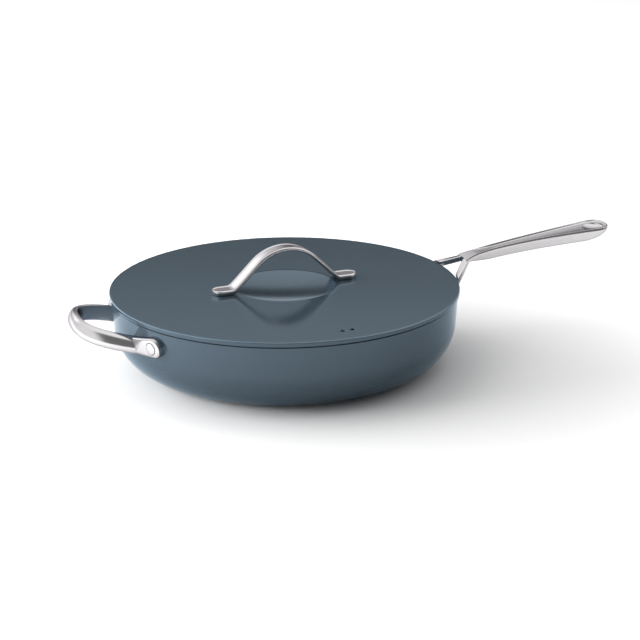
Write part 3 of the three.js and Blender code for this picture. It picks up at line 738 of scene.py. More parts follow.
def cast_steel(name, lie):
    """Polished cast steel with faint polishing lines that run along the piece."""
    finish = settings().finishes
    graph = Graph(fresh(name))
    place = graph.own_place()
    lines = graph.noise(graph.stretched(place, lie), 1.0, 3.0)
    smear = graph.noise(place, 60.0, 3.0)
    tone = graph.mix_colour(lines, tinted(finish.steel, 0.93), tinted(finish.steel, 1.06))
    return graph.surface(
        {
            "Base Color": tone,
            "Metallic": 1.0,
            "Roughness": finish.steel_roughness + (lines - 0.5) * 0.08 + (smear - 0.5) * 0.03,
            "Specular Tint": (*finish.steel_edge, 1.0),
            "Normal": graph.bump(lines, 0.02),
        }
    )


def turned_steel():
    """Plain steel with the fine rings of a lathe round the pan's axis."""
    finish = settings().finishes
    graph = Graph(fresh("turned_steel"))
    place = graph.own_place()
    radius = graph.length_of(graph.stretched(place, (1.0, 1.0, 0.0)))
    rings = (radius * 9000.0).apply("SINE") * 0.5 + 0.5
    cloud = graph.noise(place, 40.0, 3.0)
    tone = graph.varied(rings * 0.6 + cloud * 0.4, finish.plain, 0.1)
    return graph.surface(
        {
            "Base Color": tone,
            "Metallic": 1.0,
            "Roughness": finish.plain_roughness + (rings - 0.5) * 0.1 + (cloud - 0.5) * 0.08,
            "Normal": graph.bump(rings, 0.08),
        }
    )


def finish_for(name, maker, *values):
    """A finish that several pieces share is made once."""
    return bpy.data.materials.get(name) or maker(*values)


def steel_along(axis):
    """The cast steel with its polishing lines along X, along Y or all ways."""
    coarse = 90.0
    fine = 1500.0
    even = 800.0
    lies = {"x": (coarse, fine, fine), "y": (fine, coarse, fine), "round": (even, even, even)}
    name = f"cast_steel_{axis}"
    return finish_for(name, cast_steel, name, lies[axis])


def coat():
    return finish_for("slate_hard_coat", hard_coat, "slate_hard_coat", 1.0)


def coat_with_painted_highlight():
    """The hard coat lightened along the upper rounding of the lid's edge: a painted highlight."""
    return finish_for("slate_coat_edge", hard_coat, "slate_coat_edge", settings().finishes.painted_highlight_lift)


def plain_steel():
    return finish_for("turned_steel", turned_steel)


# Places on the wall that the handles share


def lid_radius():
    return settings().pan.rim_radius + settings().lid.overhang


def wall_radius(height):
    pan = settings().pan
    return pan.rim_radius - (pan.height - height) * math.tan(pan.flare)


def rim_inner_radius():
    pan = settings().pan
    return pan.rim_radius - pan.wall / math.cos(pan.flare)


def wall_place(azimuth, height):
    """A frame on the outside of the wall: X along the wall, Z out of it."""
    flare = settings().pan.flare
    level = Vector((math.cos(azimuth), math.sin(azimuth), 0))
    along = Vector((-math.sin(azimuth), math.cos(azimuth), 0))
    out = level * math.cos(flare) - UP * math.sin(flare)
    up = out.cross(along)
    matrix = Matrix((along, up, out)).transposed().to_4x4()
    matrix.translation = level * wall_radius(height) + UP * height
    return matrix


def rivet_places(handle, facing):
    """Frames of the left and the right rivet of a handle."""
    height = settings().pan.height - handle.rivet_drop
    spread = math.asin(handle.rivet_spacing / 2 / wall_radius(height))
    return [wall_place(facing + spread, height), wall_place(facing - spread, height)]


def pad_face(handle):
    return settings().pan.seat_gap + handle.pad_thickness


def rivet_cutters(handle, facing):
    """The round seats of a handle's rivets."""
    pan = settings().pan
    radius = pan.rivet_head + pan.rivet_ring
    seat = pad_face(handle) - pan.rivet_seat
    top = pad_face(handle) + pan.rivet_head
    profile = [(0, seat), (radius, seat), (radius, top), (0, top)]
    cutter = lathe(profile, SMALL_STEPS)
    return [solid("rivet_seat", cutter, place) for place in rivet_places(handle, facing)]


def room_of_the_lid():
    """The wall that the handles seat on and the way of the rising lid."""
    pan = settings().pan
    low = pan.base_lift + pan.corner / 2
    step = pan.height - pan.rim_step
    high = pan.height + settings().long_handle.tip_rise
    way = lid_radius() + settings().long_handle.leg_clearance
    profile = [
        (0, low),
        (wall_radius(low) + pan.seat_gap, low),
        (wall_radius(step) + pan.seat_gap, step),
        (way, step),
        (way, high),
        (0, high),
    ]
    return solid("room_of_the_lid", lathe(profile, 240))


# Pan


def pan_profile():
    """Outside from the middle of the base to the rim, then inside back to the axis."""
    pan = settings().pan
    corner_height = pan.base_lift + pan.corner
    wall_foot = corner_height - pan.corner * math.sin(pan.flare)
    centre = wall_radius(wall_foot) - pan.corner * math.cos(pan.flare)
    floor_top = pan.base_lift + pan.floor
    inner = pan.corner - pan.wall
    recess = pan.disc_radius + pan.seat_gap
    recess_top = pan.disc_thickness + pan.seat_gap
    shelf = pan.height - pan.rim_step
    outer_rim = (wall_radius(shelf) - pan.rim_round, shelf - pan.rim_round)
    inner_rim = (rim_inner_radius() + pan.rim_inner_round, pan.height - pan.rim_inner_round)
    outside = [
        (0, recess_top),
        (recess, recess_top),
        (recess, pan.base_lift),
        *arc((centre, corner_height), pan.corner, -QUARTER_TURN, -pan.flare, CORNER_STEPS),
        *arc(outer_rim, pan.rim_round, -pan.flare, QUARTER_TURN, 6),
        (pan.rim_radius - pan.rim_inset, shelf),
        (pan.rim_radius - pan.rim_inset, pan.height),
    ]
    inside = [
        *arc(inner_rim, pan.rim_inner_round, QUARTER_TURN, HALF_TURN, 8),
        *arc((centre, floor_top + inner), inner, -pan.flare, -QUARTER_TURN, CORNER_STEPS),
        (0, floor_top),
    ]
    return outside, inside


class PAN_OT_body(bpy.types.Operator):
    """Build the deep pan body with its dark cooking surface"""

    bl_idname = "saute_pan.body"
    bl_label = "Pan Body"

    def execute(self, context):
        pan = settings().pan
        outside, inside = pan_profile()
        piece = solid("pan_shell", lathe([*outside, *inside], pan.steps))
        cooking = finish_for("dark_cooking_coat", cooking_coat)
        place_on(piece, "pan", "slate_coating", [coat(), cooking], "pan_body")
        just_below = pan.base_lift + pan.floor - MM / 2
        for face in piece.data.polygons:
            # The cooking surface is what looks inwards or up, inside the rim and above the base
            level = Vector((face.center.x, face.center.y, 0))
            within = level.length < rim_inner_radius() and face.center.z > just_below
            faces_in = face.normal.dot(level) < 0 or face.normal.z > 0.1
            face.material_index = int(within and faces_in)
        shade(piece, 32)
        return {"FINISHED"}


class PAN_OT_base(bpy.types.Operator):
    """Build the steel disc under the pan"""

    bl_idname = "saute_pan.base"
    bl_label = "Base Disc"

    def execute(self, context):
        pan = settings().pan
        profile = [
            (0, 0),
            *lower_edge(pan.disc_radius, 0, pan.disc_rounding, 6),
            (pan.disc_radius, pan.disc_thickness),
            (0, pan.disc_thickness),
        ]
        piece = solid("base_plate", lathe(profile, pan.steps))
        place_on(piece, "pan", "plain_steel", [plain_steel()], "base_disc")
        shade(piece, 32)
        return {"FINISHED"}


class PAN_OT_rivets(bpy.types.Operator):
    """Build the four rivets that hold the two handles"""

    bl_idname = "saute_pan.rivets"
    bl_label = "Rivets"

    def profile(self, handle):
        pan = settings().pan
        bottom = pad_face(handle) - pan.rivet_seat + pan.seat_gap
        top = bottom + pan.rivet_head_thickness
        inner = -pan.wall - pan.seat_gap
        flat = pan.rivet_head - pan.rivet_round
        inner_dome = arc((0, 0), 1, -QUARTER_TURN, 0, 10)
        outer_dome = arc((0, 0), 1, 0, QUARTER_TURN, 10)
        return [
            *[(pan.rivet_inner * a, inner + pan.rivet_inner_dome * b) for a, b in inner_dome],
            (pan.rivet_shank, inner),
            (pan.rivet_shank, bottom),
            (pan.rivet_head, bottom),
            *upper_edge(pan.rivet_head, top, pan.rivet_round, 5),
            *[(flat * a, top + pan.rivet_dome * b) for a, b in outer_dome[1:]],
        ]

    def execute(self, context):
        long_handle = ("long_handle", settings().long_handle, 0.0)
        helper_handle = ("helper_handle", settings().helper, HALF_TURN)
        for name, handle, facing in (long_handle, helper_handle):
            stud = lathe(self.profile(handle), SMALL_STEPS)
            for side, place in zip(("left", "right"), rivet_places(handle, facing)):
                piece = solid(f"{name}_stud_{side}", stud, place)
                place_on(piece, "pan", "cast_steel", [steel_along("round")], f"{name}_rivet_{side}")
                shade(piece, 40)
        return {"FINISHED"}


# Long handle


# Foot of the channel's sides: shares of its half width and depth, and their rounding
CHANNEL_FOOT = (0.9, 0.85, 1.2 * MM)
# Rounding along the middle of the channel
CHANNEL_ROUND = 3 * MM
# Underside of the shank: shares of its half width and depth, and the rounding there
KEEL = ((0.93, 0.46, 2.5 * MM), (0.7, 0.83, 3 * MM), (0.28, 1, 3 * MM))


class PAN_OT_long_handle(bpy.types.Operator):
    """Build the forked long handle with its channel, thumb scoop, legs and pads"""

    bl_idname = "saute_pan.long_handle"
    bl_label = "Long Handle"

    def measure(self):
        size = settings().long_handle
        height = settings().pan.height
        self.crotch = Vector((lid_radius() + size.crotch_reach, 0, height + size.crotch_rise))
        self.neck = lid_radius() + size.neck_reach
        self.tip = Vector((lid_radius() + size.reach, 0, height + size.tip_rise))

    def top_line(self):
        size = settings().long_handle
        fork = (self.neck - self.crotch.x) * size.fork_pull
        tip = (self.tip.x - self.neck) * size.tip_pull
        return [
            self.crotch,
            self.crotch + Vector((fork, 0, fork * math.tan(size.fork_slope))),
            self.tip - Vector((tip, 0, tip * math.tan(size.tip_slope))),
            self.tip,
        ]

    def section(self, x):
        """Section across the shank: bevelled edges, a hollow top and a keeled underside."""
        size = settings().long_handle
        to_fork = max(0.0, (self.neck - x) / (self.neck - self.crotch.x))
        grown = clamped((x - self.neck) / (self.tip.x - size.tip_rounding - self.neck))
        hollow = clamped(1 - (self.neck - x) / size.channel_fade)
        rounding = clamped((x - self.tip.x + size.tip_rounding) / size.tip_rounding)
        undercut = clamped((x - self.tip.x + size.tip_undercut) / size.tip_undercut)
        ending = (1 - TIP_OPEN) * rounding**size.tip_plan_power
        nose = (1 - ending) ** (1 / size.tip_plan_power)
        width = mixed(size.neck_width, size.tip_width, grown**size.tip_width_power)
        width += (size.fork_width - size.neck_width) * to_fork**size.fork_width_power
        depth = mixed(size.neck_depth, size.tip_depth, grown)
        depth += (size.leg_height - size.neck_depth) * to_fork**size.fork_depth_power
        depth *= 1 - size.tip_lift * undercut**2
        half = width / 2 * nose
        bevel = mixed(size.neck_bevel, size.tip_bevel, grown) * nose
        channel = size.channel_depth * hollow * (1 - rounding**2)
        edge = half - bevel
        wall = edge - min(size.channel_edge, edge * EDGE_SHARE)
        crisp = CRISP * nose
        aside, down, soft = CHANNEL_FOOT
        top = [
            (half, -bevel * size.bevel_drop, crisp),
            (edge, 0, crisp),
            (wall, 0, crisp),
            (wall * aside, -channel * down, soft * nose),
            (0, -channel, CHANNEL_ROUND * nose),
        ]
        belly = [(-half * a, -depth * b, r * nose) for a, b, r in KEEL]
        turned = [(-y, z, r) for y, z, r in reversed(top[:-1])]
        corners = [*top, *turned, *belly, *[(-y, z, r) for y, z, r in reversed(belly)]]
        return rounded(corners, 3)

    def shank(self):
        """Rings of the shank, closer together towards the tip."""
        nose = 0.9
        body_steps = 70
        nose_steps = 40
        turns = [QUARTER_TURN * i / nose_steps for i in range(nose_steps + 1)]
        spots = [nose * i / body_steps for i in range(body_steps)]
        spots += [mixed(nose, 1, math.sin(turn)) for turn in turns]
        points = [bezier(self.top_line(), spot) for spot in spots]
        return [ring_at(point, SIDEWAYS, UP, self.section(point.x)) for point in points]

    def leg(self):
        """Rings of one leg: a bar hung from its inner top edge, leaning and deepening to the wall."""
        size = settings().long_handle
        edge = lid_radius() + size.leg_clearance
        half = size.leg_spread / 2
        crotch = Vector((self.crotch.x, size.crotch_half, self.crotch.z))
        passing = Vector((math.sqrt(edge**2 - half**2), half, settings().pan.height + size.leg_rise))
        climb = size.leg_root * math.tan(size.fork_slope) - size.leg_sink
        beside = MM / 2
        root = Vector((self.crotch.x + size.leg_root, beside, self.crotch.z + climb))
        at_wall = passing + (passing - crotch) * size.leg_overrun
        steps = 56
        points = evenly(through([root, crotch, passing, at_wall]), steps)
        rings = []
        for i, point in enumerate(points):
            run = i / steps
            along = points[min(i + 1, steps)] - points[max(i - 1, 0)]
            level = Vector((along.y, -along.x, 0)).normalized()
            lean = size.leg_twist * run
            out = level * math.cos(lean) + UP * math.sin(lean)
            under = -UP * math.cos(lean) + level * math.sin(lean)
            tall = mixed(size.leg_height, size.leg_root_height, run**2)
            bevel = size.leg_bevel
            wide = size.leg_width
            corners = [
                (0, bevel / 2),
                (bevel / 2, 0),
                (wide - bevel, 0),
                (wide, bevel),
                (wide, tall - bevel),
                (wide - bevel, tall),
                (bevel / 2, tall),
                (0, tall - bevel / 2),
            ]
            section = rounded([(a, b, CRISP) for a, b in corners], 3)
            rings.append(ring_at(point, out, under, section))
        return rings

    def pad(self, place):
        """An upright tongue on the wall under a leg, round below its rivet."""
        size = settings().long_handle
        pan = settings().pan
        top = (size.rivet_drop - pan.rim_step) / math.cos(pan.flare)
        face = pad_face(size)
        rings = []
        half = size.pad_width / 2
        for out, height in [(half, 0), *upper_edge(half, face, size.pad_bevel, 5)]:
            end = top - half + out
            outline = [(out, end), (-out, end), *arc((0, 0), out, HALF_TURN, 2 * HALF_TURN, 32)]
            rings.append([Vector((x, y, height)) for x, y in outline])
        return solid("pad", skin(rings), place)

    def scoop(self):
        size = settings().long_handle
        ball = [(math.cos(a), math.sin(a)) for a in (HALF_TURN * (i / 48 - 0.5) for i in range(49))]
        ball = [(0.0, -1.0), *ball[1:-1], (0.0, 1.0)]
        top = self.tip.z - size.scoop_from_tip * math.tan(size.tip_slope)
        place = Matrix.Translation((self.tip.x - size.scoop_from_tip, 0, top))
        place = place @ Matrix.Rotation(size.scoop_tilt - size.tip_slope, 4, "Y")
        radii = Vector((size.scoop_length / 2, size.scoop_width / 2, size.scoop_depth))
        place = place @ Matrix.Diagonal(radii.to_4d())
        return solid("scoop", lathe(ball, 72), place)

    def execute(self, context):
        self.measure()
        size = settings().long_handle
        piece = solid("long_handle_casting", skin(self.shank()))
        leg = self.leg()
        legs = [solid("leg", skin(leg)), solid("leg", skin(mirrored(leg)))]
        pads = [self.pad(place) for place in rivet_places(size, 0.0)]
        combine(piece, [*legs, *pads], "UNION")
        combine(piece, [room_of_the_lid(), self.scoop(), *rivet_cutters(size, 0.0)], "DIFFERENCE")
        place_on(piece, "pan", "cast_steel", [steel_along("x")], "long_handle")
        shade(piece, 28)
        return {"FINISHED"}


# Helper handle


# Bevel of a pad, as a share of its half height and of its rounding, and how soft that bevel is
BEVEL_SHARE = 0.6
BEVEL_SOFTNESS = 1.2


class PAN_OT_helper_handle(bpy.types.Operator):
    """Build the looped helper handle on its two pads"""

    bl_idname = "saute_pan.helper_handle"
    bl_label = "Helper Handle"

    def measure(self):
        size = settings().helper
        pan = settings().pan
        self.wall = wall_radius(pan.height - size.rivet_drop)
        self.leave = math.sqrt(self.wall**2 - (size.width / 2) ** 2)
        self.root = math.sqrt(self.wall**2 - (size.width / 2 + size.root_thickness) ** 2)
        self.front = self.wall + size.reach

    def middle(self, reach):
        """Height of the strap's middle at a reach from the axis."""
        size = settings().helper
        return settings().pan.height - size.drop + (reach - self.wall) * math.tan(size.lift)

    def strap_section(self, part):
        """Nearly flat inside, full and leaning outside, at a part of the way to the front."""
        size = settings().helper
        half = size.strap / 2
        thickness = mixed(size.thickness, size.root_thickness, (1 - part) ** size.swell_power)
        top = thickness - size.shoulder
        fullest = thickness + size.fullness * size.shoulder
        soft = size.strap
        outside = [
            (top, top * math.tan(size.top_slope) - half, soft),
            (fullest, size.fullest_drop * half, soft),
            (size.underside * thickness, half, soft),
        ]
        inside = [(-size.crowning * (1 - c * c), half * c, 0) for c in (0.6, 0.3, 0, -0.3, -0.6)]
        low = (0, -half, size.edge_round)
        high = (0, half, size.edge_round)
        return rounded([low, *outside, high, *inside], 10)

    def loop(self):
        size = settings().helper
        half = size.width / 2
        bend = mixed(self.root, self.front, size.bend)
        spots = [(self.root, half), (bend, half - size.toe_in)]
        spots += [(self.front, size.corner), (self.front, 0)]
        line = [Vector((-reach, y, self.middle(reach))) for reach, y in spots]
        steps = 44
        rings = []
        for i in range(steps + 1):
            along = bezier_slope(line, i / steps)
            out = Vector((along.y, -along.x, 0)).normalized()
            down = along.cross(out).normalized()
            rings.append(ring_at(bezier(line, i / steps), out, down, self.strap_section(i / steps)))
        return [*rings, *reversed(mirrored(rings)[:-1])]

    def pad(self, side):
        """One pad, bent to the wall, with a round outer end."""
        size = settings().helper
        flare = settings().pan.flare
        height = settings().pan.height - size.rivet_drop
        rivet = math.asin(size.rivet_spacing / 2 / self.wall)
        inner = math.asin(size.width / 2 / self.wall)
        last = rivet + size.pad_beyond / self.wall
        end = size.pad_height / 2 / self.wall
        root_rise = self.middle(self.leave) - height
        start = inner + size.edge_round / self.wall
        run_steps = 36
        end_steps = 24
        turns = [mixed(start, last, i / run_steps) for i in range(run_steps)]
        turns += [last + end * math.sin(PAD_END * i / end_steps) for i in range(end_steps + 1)]
        face = pad_face(size)
        rings = []
        for turn in turns:
            grown = min(1.0, (turn - inner) / (rivet - inner))
            rounding = max(0.0, (turn - last) / end)
            place = wall_place(HALF_TURN - side * turn, height)
            out = place.col[2].to_3d()
            up = place.col[1].to_3d()
            rise = mixed(root_rise, size.pad_rise, grown) / math.cos(flare)
            half = mixed(size.pad_root, size.pad_height, grown) * math.sqrt(1 - rounding**2) / 2
            bevel = min(size.pad_round, half * BEVEL_SHARE) * BEVEL_SHARE
            soft = bevel * BEVEL_SOFTNESS
            corners = [
                (0, -half, 0),
                (face - bevel, -half, soft),
                (face, -half + bevel, soft),
                (face, half - bevel, soft),
                (face - bevel, half, soft),
                (0, half, 0),
            ]
            rings.append(ring_at(place.translation + up * rise, out, up, rounded(corners, 4)))
        return solid("pad", skin(rings))

    def execute(self, context):
        self.measure()
        size = settings().helper
        piece = solid("helper_handle_casting", skin(self.loop()))
        combine(piece, [self.pad(1), self.pad(-1)], "UNION")
        combine(piece, [room_of_the_lid(), *rivet_cutters(size, HALF_TURN)], "DIFFERENCE")
        place_on(piece, "pan", "cast_steel", [steel_along("y")], "helper_handle")
        shade(piece, 30)
        return {"FINISHED"}


# Lid


def lid_place():
    """The lid's own frame: its top, turned as it lies on the pan."""
    return Matrix.Translation((0, 0, LID_TOP)) @ Matrix.Rotation(settings().lid.turn, 4, "Z")


class LID_OT_plate(bpy.types.Operator):
    """Build the lid with its dish, skirt and steam vents"""

    bl_idname = "saute_pan.lid"
    bl_label = "Lid"

    def top(self, radius):
        """Height of the top at a radius: a dish with a slight pressed shoulder round it."""
        size = settings().lid
        sphere = (size.dish_radius**2 + size.dish_depth**2) / (2 * size.dish_depth)
        height = 0.0
        if radius < size.dish_radius:
            height = sphere - size.dish_depth - math.sqrt(sphere**2 - radius**2)
        beyond = (radius - size.dish_radius - size.shoulder_width / 2) / size.shoulder_width
        return height + size.shoulder * math.exp(-(beyond**2))

    def profile(self):
        size = settings().lid
        radius = lid_radius()
        skirt_outer = rim_inner_radius() - size.skirt_clearance
        skirt_inner = skirt_outer - size.skirt_thickness
        foot = -size.edge - size.skirt_depth
        dish_edge = size.dish_radius + 4 * size.shoulder_width
        dish_steps = 72
        near = [dish_edge * i / dish_steps for i in range(dish_steps + 1)]
        soft = size.skirt_thickness / 2
        return [
            *[(r, self.top(r) - size.plate) for r in near],
            (skirt_inner - size.plate, -size.plate),
            (skirt_inner, -size.plate),
            *arc((skirt_inner + soft, foot + soft), soft, HALF_TURN, 2 * HALF_TURN, 10),
            (skirt_outer, -size.edge),
            *lower_edge(radius, -size.edge, size.rounding / 4, 5),
            *upper_edge(radius, 0, size.rounding, 8),
            # Two rings beside the edge keep the shading of the flat top even
            *[(radius - size.rounding - 2 * MM * i, 0) for i in (1, 2)],
            *[(r, self.top(r)) for r in reversed(near)],
        ]

    def vent(self, x):
        """A cutter for a vent whose edges are chamfered on both faces."""
        size = settings().lid
        wide = size.vent_radius + size.vent_flare
        profile = [
            (0, -size.plate - MM),
            (wide + MM, -size.plate - MM),
            (size.vent_radius, -size.plate + size.vent_flare),
            (size.vent_radius, -size.vent_flare),
            (wide + MM, MM),
            (0, MM),
        ]
        place = Matrix.Translation((x, -size.vent_distance, 0))
        return solid("vent", lathe(profile, HOLE_STEPS), place)

    def execute(self, context):
        size = settings().lid
        piece = solid("lid_plate", lathe(self.profile(), settings().pan.steps))
        combine(piece, [self.vent(side * size.vent_spacing / 2) for side in (-1, 1)], "DIFFERENCE")
        piece.data.transform(lid_place())
        # The second finish is the coat with a painted highlight along the lid's edge
        place_on(piece, "lid", "slate_coating", [coat(), coat_with_painted_highlight()], "lid")
        for face in piece.data.polygons:
            # The painted highlight goes on the upper part of the rounded edge, on faces that look up
            outermost = math.hypot(face.center.x, face.center.y) > lid_radius() - size.rounding
            uppermost = face.center.z > LID_TOP - size.rounding
            face.material_index = int(outermost and uppermost and face.normal.z > 0.3)
        shade(piece, 30)
        return {"FINISHED"}


class LID_OT_handle(bpy.types.Operator):
    """Build the arched strap handle of the lid"""

    bl_idname = "saute_pan.lid_handle"
    bl_label = "Lid Handle"

    def half_path(self):
        """From the crown outwards: the middle of the strap and its slope."""
        size = settings().lid
        crown = size.arch_height - size.strap / 2
        foot = size.foot / 2
        start = size.arch_span / 2 - size.foot_run
        radii = size.crown_radius + size.foot_radius
        lift = radii - (crown - foot)
        flank = math.sqrt(start**2 + lift**2 - radii**2)
        slope = math.atan2(start, lift) - math.atan2(flank, radii)
        steps = 26
        crown_centre = (0, crown - size.crown_radius)
        foot_centre = (start, foot + size.foot_radius)
        over = arc(crown_centre, size.crown_radius, QUARTER_TURN, QUARTER_TURN - slope, steps)
        into = arc(foot_centre, size.foot_radius, -QUARTER_TURN - slope, -QUARTER_TURN, steps)
        straight = [(over[-1], into[0], i / 12) for i in range(1, 12)]
        path = [(u, z, slope * i / steps) for i, (u, z) in enumerate(over)]
        path += [(mixed(a[0], b[0], t), mixed(a[1], b[1], t), slope) for a, b, t in straight]
        path += [(u, z, slope * (1 - i / steps)) for i, (u, z) in enumerate(into)]
        path += [(mixed(start, size.arch_span / 2, i / 8), foot, 0.0) for i in range(1, 8)]
        end_steps = 28
        ends = [math.sin(FOOT_END * i / end_steps) for i in range(end_steps + 1)]
        path += [(size.arch_span / 2 + size.foot_width / 2 * part, foot, 0.0) for part in ends]
        return path

    def section(self, half, thickness):
        """Section across the strap: a shallow flat channel between two rounded edges."""
        size = settings().lid
        shrink = min(1.0, half * EDGE_SHARE / size.edge_round)
        radius = size.edge_round * shrink
        taper = size.side_taper * shrink
        hollow = size.hollow * shrink
        edge = half - radius
        high = thickness / 2
        right = [(half - taper, -high), *upper_edge(half, high, radius, 10)]
        rise = size.hollow_rise
        steps = 16
        shares = [1 - i / steps for i in range(1, 2 * steps)]
        floor = [(edge * part, high - hollow * eased((1 - abs(part)) / rise)) for part in shares]
        left = [(-y, z) for y, z in reversed(right)]
        return [*right, *floor, *left]

    def strap(self):
        size = settings().lid
        half = self.half_path()
        path = [*[(-u, z, -slope) for u, z, slope in reversed(half[1:])], *half]
        start = size.arch_span / 2 - size.foot_run
        rings = []
        for u, z, slope in path:
            reach = clamped(abs(u) / (size.arch_span / 2))
            rounding = clamped((abs(u) - size.arch_span / 2) / (size.foot_width / 2))
            width = mixed(size.crown_width, size.foot_width, reach**2)
            footing = eased((abs(u) - start + size.foot_blend) / size.foot_blend)
            thickness = mixed(size.strap, size.foot, footing)
            up = Vector((math.sin(slope), 0, math.cos(slope)))
            section = self.section(width / 2 * math.sqrt(1 - rounding**2), thickness)
            rings.append(ring_at(Vector((u, 0, z)), SIDEWAYS, up, section))
        return rings

    def boss(self, u):
        size = settings().lid
        low = -size.plate - settings().pan.seat_gap
        high = size.foot / 2
        profile = [(0, low), (size.boss, low), (size.boss, high), (0, high)]
        return solid("boss", lathe(profile, HOLE_STEPS), Matrix.Translation((u, 0, 0)))

    def execute(self, context):
        size = settings().lid
        piece = solid("lid_handle_strap", skin(self.strap()))
        combine(piece, [self.boss(side * size.arch_span / 2) for side in (-1, 1)], "UNION")
        piece.data.transform(lid_place() @ Matrix.Translation((0, 0, settings().pan.seat_gap)))
        place_on(piece, "lid", "cast_steel", [steel_along("x")], "lid_handle")
        shade(piece, 30)
        return {"FINISHED"}


class LID_OT_fasteners(bpy.types.Operator):
    """Build the socket screws and washers under the lid"""

    bl_idname = "saute_pan.fasteners"
    bl_label = "Lid Screws and Washers"

    def screw(self, place, side):
        size = settings().lid
        gap = settings().pan.seat_gap
        top = -size.plate - gap - size.washer_thickness - gap
        foot = top - size.screw_head_height
        reach = size.screw_depth - size.plate - gap
        profile = [
            (0, foot),
            *lower_edge(size.screw_head, foot, size.screw_rounding, 8),
            (size.screw_head, top),
            (size.screw, top),
            (size.screw, reach),
            (0, reach),
        ]
        piece = solid(f"lid_screw_{side}", lathe(profile, SMALL_STEPS))
        deep = foot + size.socket_depth
        hexagon = [(0, foot - MM), (size.socket, foot - MM), (size.socket, deep), (0, deep)]
        combine(piece, [solid("socket", lathe(hexagon, 6))], "DIFFERENCE")
        piece.data.transform(place)
        place_on(piece, "lid", "plain_steel", [plain_steel()], f"lid_handle_screw_{side}")
        shade(piece, 35)

    def washer(self, place, side):
        size = settings().lid
        top = -size.plate - settings().pan.seat_gap
        bottom = top - size.washer_thickness
        hole = size.screw + settings().pan.seat_gap
        soft = size.washer_thickness * 0.3
        profile = [
            (hole, bottom),
            *lower_edge(size.washer, bottom, soft, 5),
            *upper_edge(size.washer, top, soft, 5),
            (hole, top),
            (hole, bottom),
        ]
        piece = solid(f"lid_washer_{side}", lathe(profile, SMALL_STEPS), place)
        place_on(piece, "lid", "plain_steel", [plain_steel()], f"lid_handle_washer_{side}")
        shade(piece, 35)

    def execute(self, context):
        for side, sign in (("left", -1), ("right", 1)):
            place = lid_place() @ Matrix.Translation((sign * settings().lid.arch_span / 2, 0, 0))
            self.screw(place, side)
            self.washer(place, side)
        return {"FINISHED"}


# Studio


def floor_finish():
    """A pale matt floor, a little whiter in view and in reflections than its light makes it."""
    studio = settings().studio
    graph = Graph(fresh("studio_floor"))
    place = graph.own_place()
    rays = graph.add("ShaderNodeLightPath")
    shown = rays.out("Is Glossy Ray").apply("MAXIMUM", rays.out("Is Transmission Ray"))
    shown = shown.apply("MAXIMUM", rays.out("Is Camera Ray"))
    away = ((graph.length_of(place) - studio.glow_start) / studio.glow_width).held()
    return graph.surface(
        {
            "Base Color": graph.varied(graph.noise(place, 3.0, 2.0), studio.floor_colour, 0.005),
            "Roughness": 0.9,
            "Specular IOR Level": 0.0,
            "Emission Color": graph.mix_colour(shown * away, grey(0.0), grey(studio.floor_glow)),
            "Emission Strength": 1.0,
        }
    )


# Light of the room behind the pan, by degrees above the horizon
SKY_LEVELS = {0: 0.8, 7: 0.8, 9: 0.05, 14: 0.08, 16: 0.13, 19.4: 0.64, 25.7: 0.84, 31: 1.08}
# Where the dark front of the room ends, where its white left begins, and how softly
FRONT_END = -0.36
LEFT_START = 0.35
ROOM_BLEND = 0.3


def studio_world():
    """A white sweep at the horizon, a white ceiling behind and above, a white left and a dark front."""
    world = bpy.data.worlds.new("studio")
    bpy.context.scene.world = world
    graph = Graph(world)
    way = graph.add("ShaderNodeTexCoord").out("Generated")
    height = graph.add("ShaderNodeSeparateXYZ", None, {"Vector": way}).out("Z")
    forward = graph.along(way, in_view(0, 1, 0))
    leftward = graph.along(way, in_view(1, 0, 0))
    rises = {math.sin(math.radians(rise)): level for rise, level in SKY_LEVELS.items()}
    stops = [(rise / 2 + 0.5, grey(level)) for rise, level in rises.items()]
    light = graph.add("ShaderNodeValToRGB", {"stops": stops}, {"Fac": height / 2 + 0.5}).out("Color")
    behind = ((forward - FRONT_END) / ROOM_BLEND).held()
    aside = ((leftward - LEFT_START) / ROOM_BLEND).held()
    shown = graph.mix_colour(behind, grey(settings().studio.room), light)
    shown = graph.mix_colour(aside, shown, grey(settings().studio.side))
    sockets = {"Color": shown, "Strength": 1.0}
    background = graph.add("ShaderNodeBackground", None, sockets).out("Background")
    graph.add("ShaderNodeOutputWorld", None, {"Surface": background})


def in_view(left, forward, height):
    """A place given to the left of the camera's line through the pan, along it and up, in metres."""
    turn = settings().studio.view_turn
    ahead = Vector((-math.sin(turn), math.cos(turn), 0))
    return ahead * forward + Vector((-ahead.y, ahead.x, 0)) * left + UP * height


def soft_lamp(name, place, target, size, power, reflected):
    """A wide lamp that polished faces reflect or only get light from."""
    data = bpy.data.lights.new(name, "AREA")
    data.shape = "RECTANGLE"
    data.size, data.size_y = size
    data.energy = power
    lamp = bpy.data.objects.new(name, data)
    bpy.context.scene.collection.objects.link(lamp)
    lamp.location = place
    lamp.rotation_euler = (target - place).to_track_quat("-Z", "Y").to_euler()
    lamp.visible_camera = False
    lamp.visible_glossy = reflected


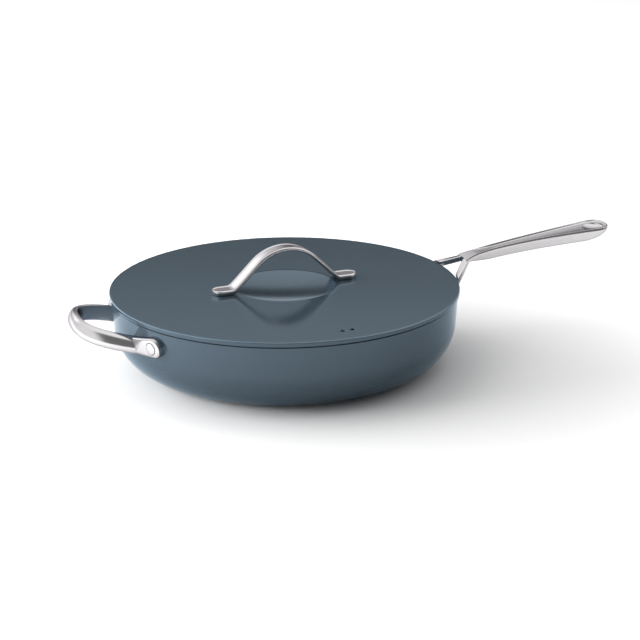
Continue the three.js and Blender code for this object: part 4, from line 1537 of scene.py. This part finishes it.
class STAGE_OT_studio(bpy.types.Operator):
    """Build the floor, the soft lights and the camera"""

    bl_idname = "saute_pan.studio"
    bl_label = "Studio"

    def execute(self, context):
        studio = settings().studio
        half = studio.floor_size / 2
        corners = [(-half, -half, 0), (half, -half, 0), (half, half, 0), (-half, half, 0)]
        mesh = bpy.data.meshes.new("studio_floor")
        mesh.from_pydata(corners, [], [[0, 1, 2, 3]])
        floor = bpy.data.objects.new("studio_floor", mesh)
        floor.location.z = -studio.floor_drop
        context.scene.collection.objects.link(floor)
        mesh.materials.append(floor_finish())
        studio_world()
        key = (in_view(1.4, 0.3, 0.35), in_view(0, 0.2, 0.05))
        back = (in_view(1.4, 1.8, 0.8), in_view(0, 0, 0.08))
        soft_lamp("key", *key, (2.1, 0.7), studio.key_power, False)
        soft_lamp("back", *back, (1.2, 0.8), studio.back_power, True)
        data = bpy.data.cameras.new("camera")
        data.lens = studio.lens
        data.sensor_width = studio.sensor
        camera = bpy.data.objects.new("camera", data)
        context.scene.collection.objects.link(camera)
        turn = Matrix.Rotation(studio.view_turn, 4, "Z")
        tilt = Matrix.Rotation(studio.view_tilt, 4, "X")
        roll = Matrix.Rotation(studio.view_roll, 4, "Z")
        camera.matrix_world = Matrix.Translation(studio.camera) @ turn @ tilt @ roll
        context.scene.camera = camera
        context.scene.view_settings.view_transform = "Standard"
        return {"FINISHED"}


class VIEW3D_PT_saute_pan(bpy.types.Panel):
    """The pan's pieces and settings"""

    bl_label = "Saute Pan"
    bl_space_type = "VIEW_3D"
    bl_region_type = "UI"
    bl_category = "Saute Pan"

    def draw(self, context):
        for operator in OPERATORS:
            self.layout.operator(operator.bl_idname)
        for group in ("pan", "long_handle", "helper", "lid", "finishes", "studio"):
            box = self.layout.box()
            box.label(text=group.replace("_", " ").title())
            values = getattr(context.scene.saute_pan, group)
            for name in values.__annotations__:
                box.prop(values, name)


GROUPS = (PanSizes, LongHandleSizes, HelperSizes, LidSizes, Finishes, StudioSettings, SautePan)
OPERATORS = (
    STAGE_OT_studio,
    PAN_OT_body,
    PAN_OT_base,
    PAN_OT_long_handle,
    PAN_OT_helper_handle,
    PAN_OT_rivets,
    LID_OT_plate,
    LID_OT_handle,
    LID_OT_fasteners,
)


def register():
    for kind in (*GROUPS, *OPERATORS, VIEW3D_PT_saute_pan):
        bpy.utils.register_class(kind)
    bpy.types.Scene.saute_pan = PointerProperty(type=SautePan)


def unregister():
    del bpy.types.Scene.saute_pan
    for kind in reversed((*GROUPS, *OPERATORS, VIEW3D_PT_saute_pan)):
        bpy.utils.unregister_class(kind)


def main():
    register()
    bpy.ops.saute_pan.studio()
    bpy.ops.saute_pan.body()
    bpy.ops.saute_pan.base()
    bpy.ops.saute_pan.long_handle()
    bpy.ops.saute_pan.helper_handle()
    bpy.ops.saute_pan.rivets()
    bpy.ops.saute_pan.lid()
    bpy.ops.saute_pan.lid_handle()
    bpy.ops.saute_pan.fasteners()


if __name__ == "__main__":
    main()
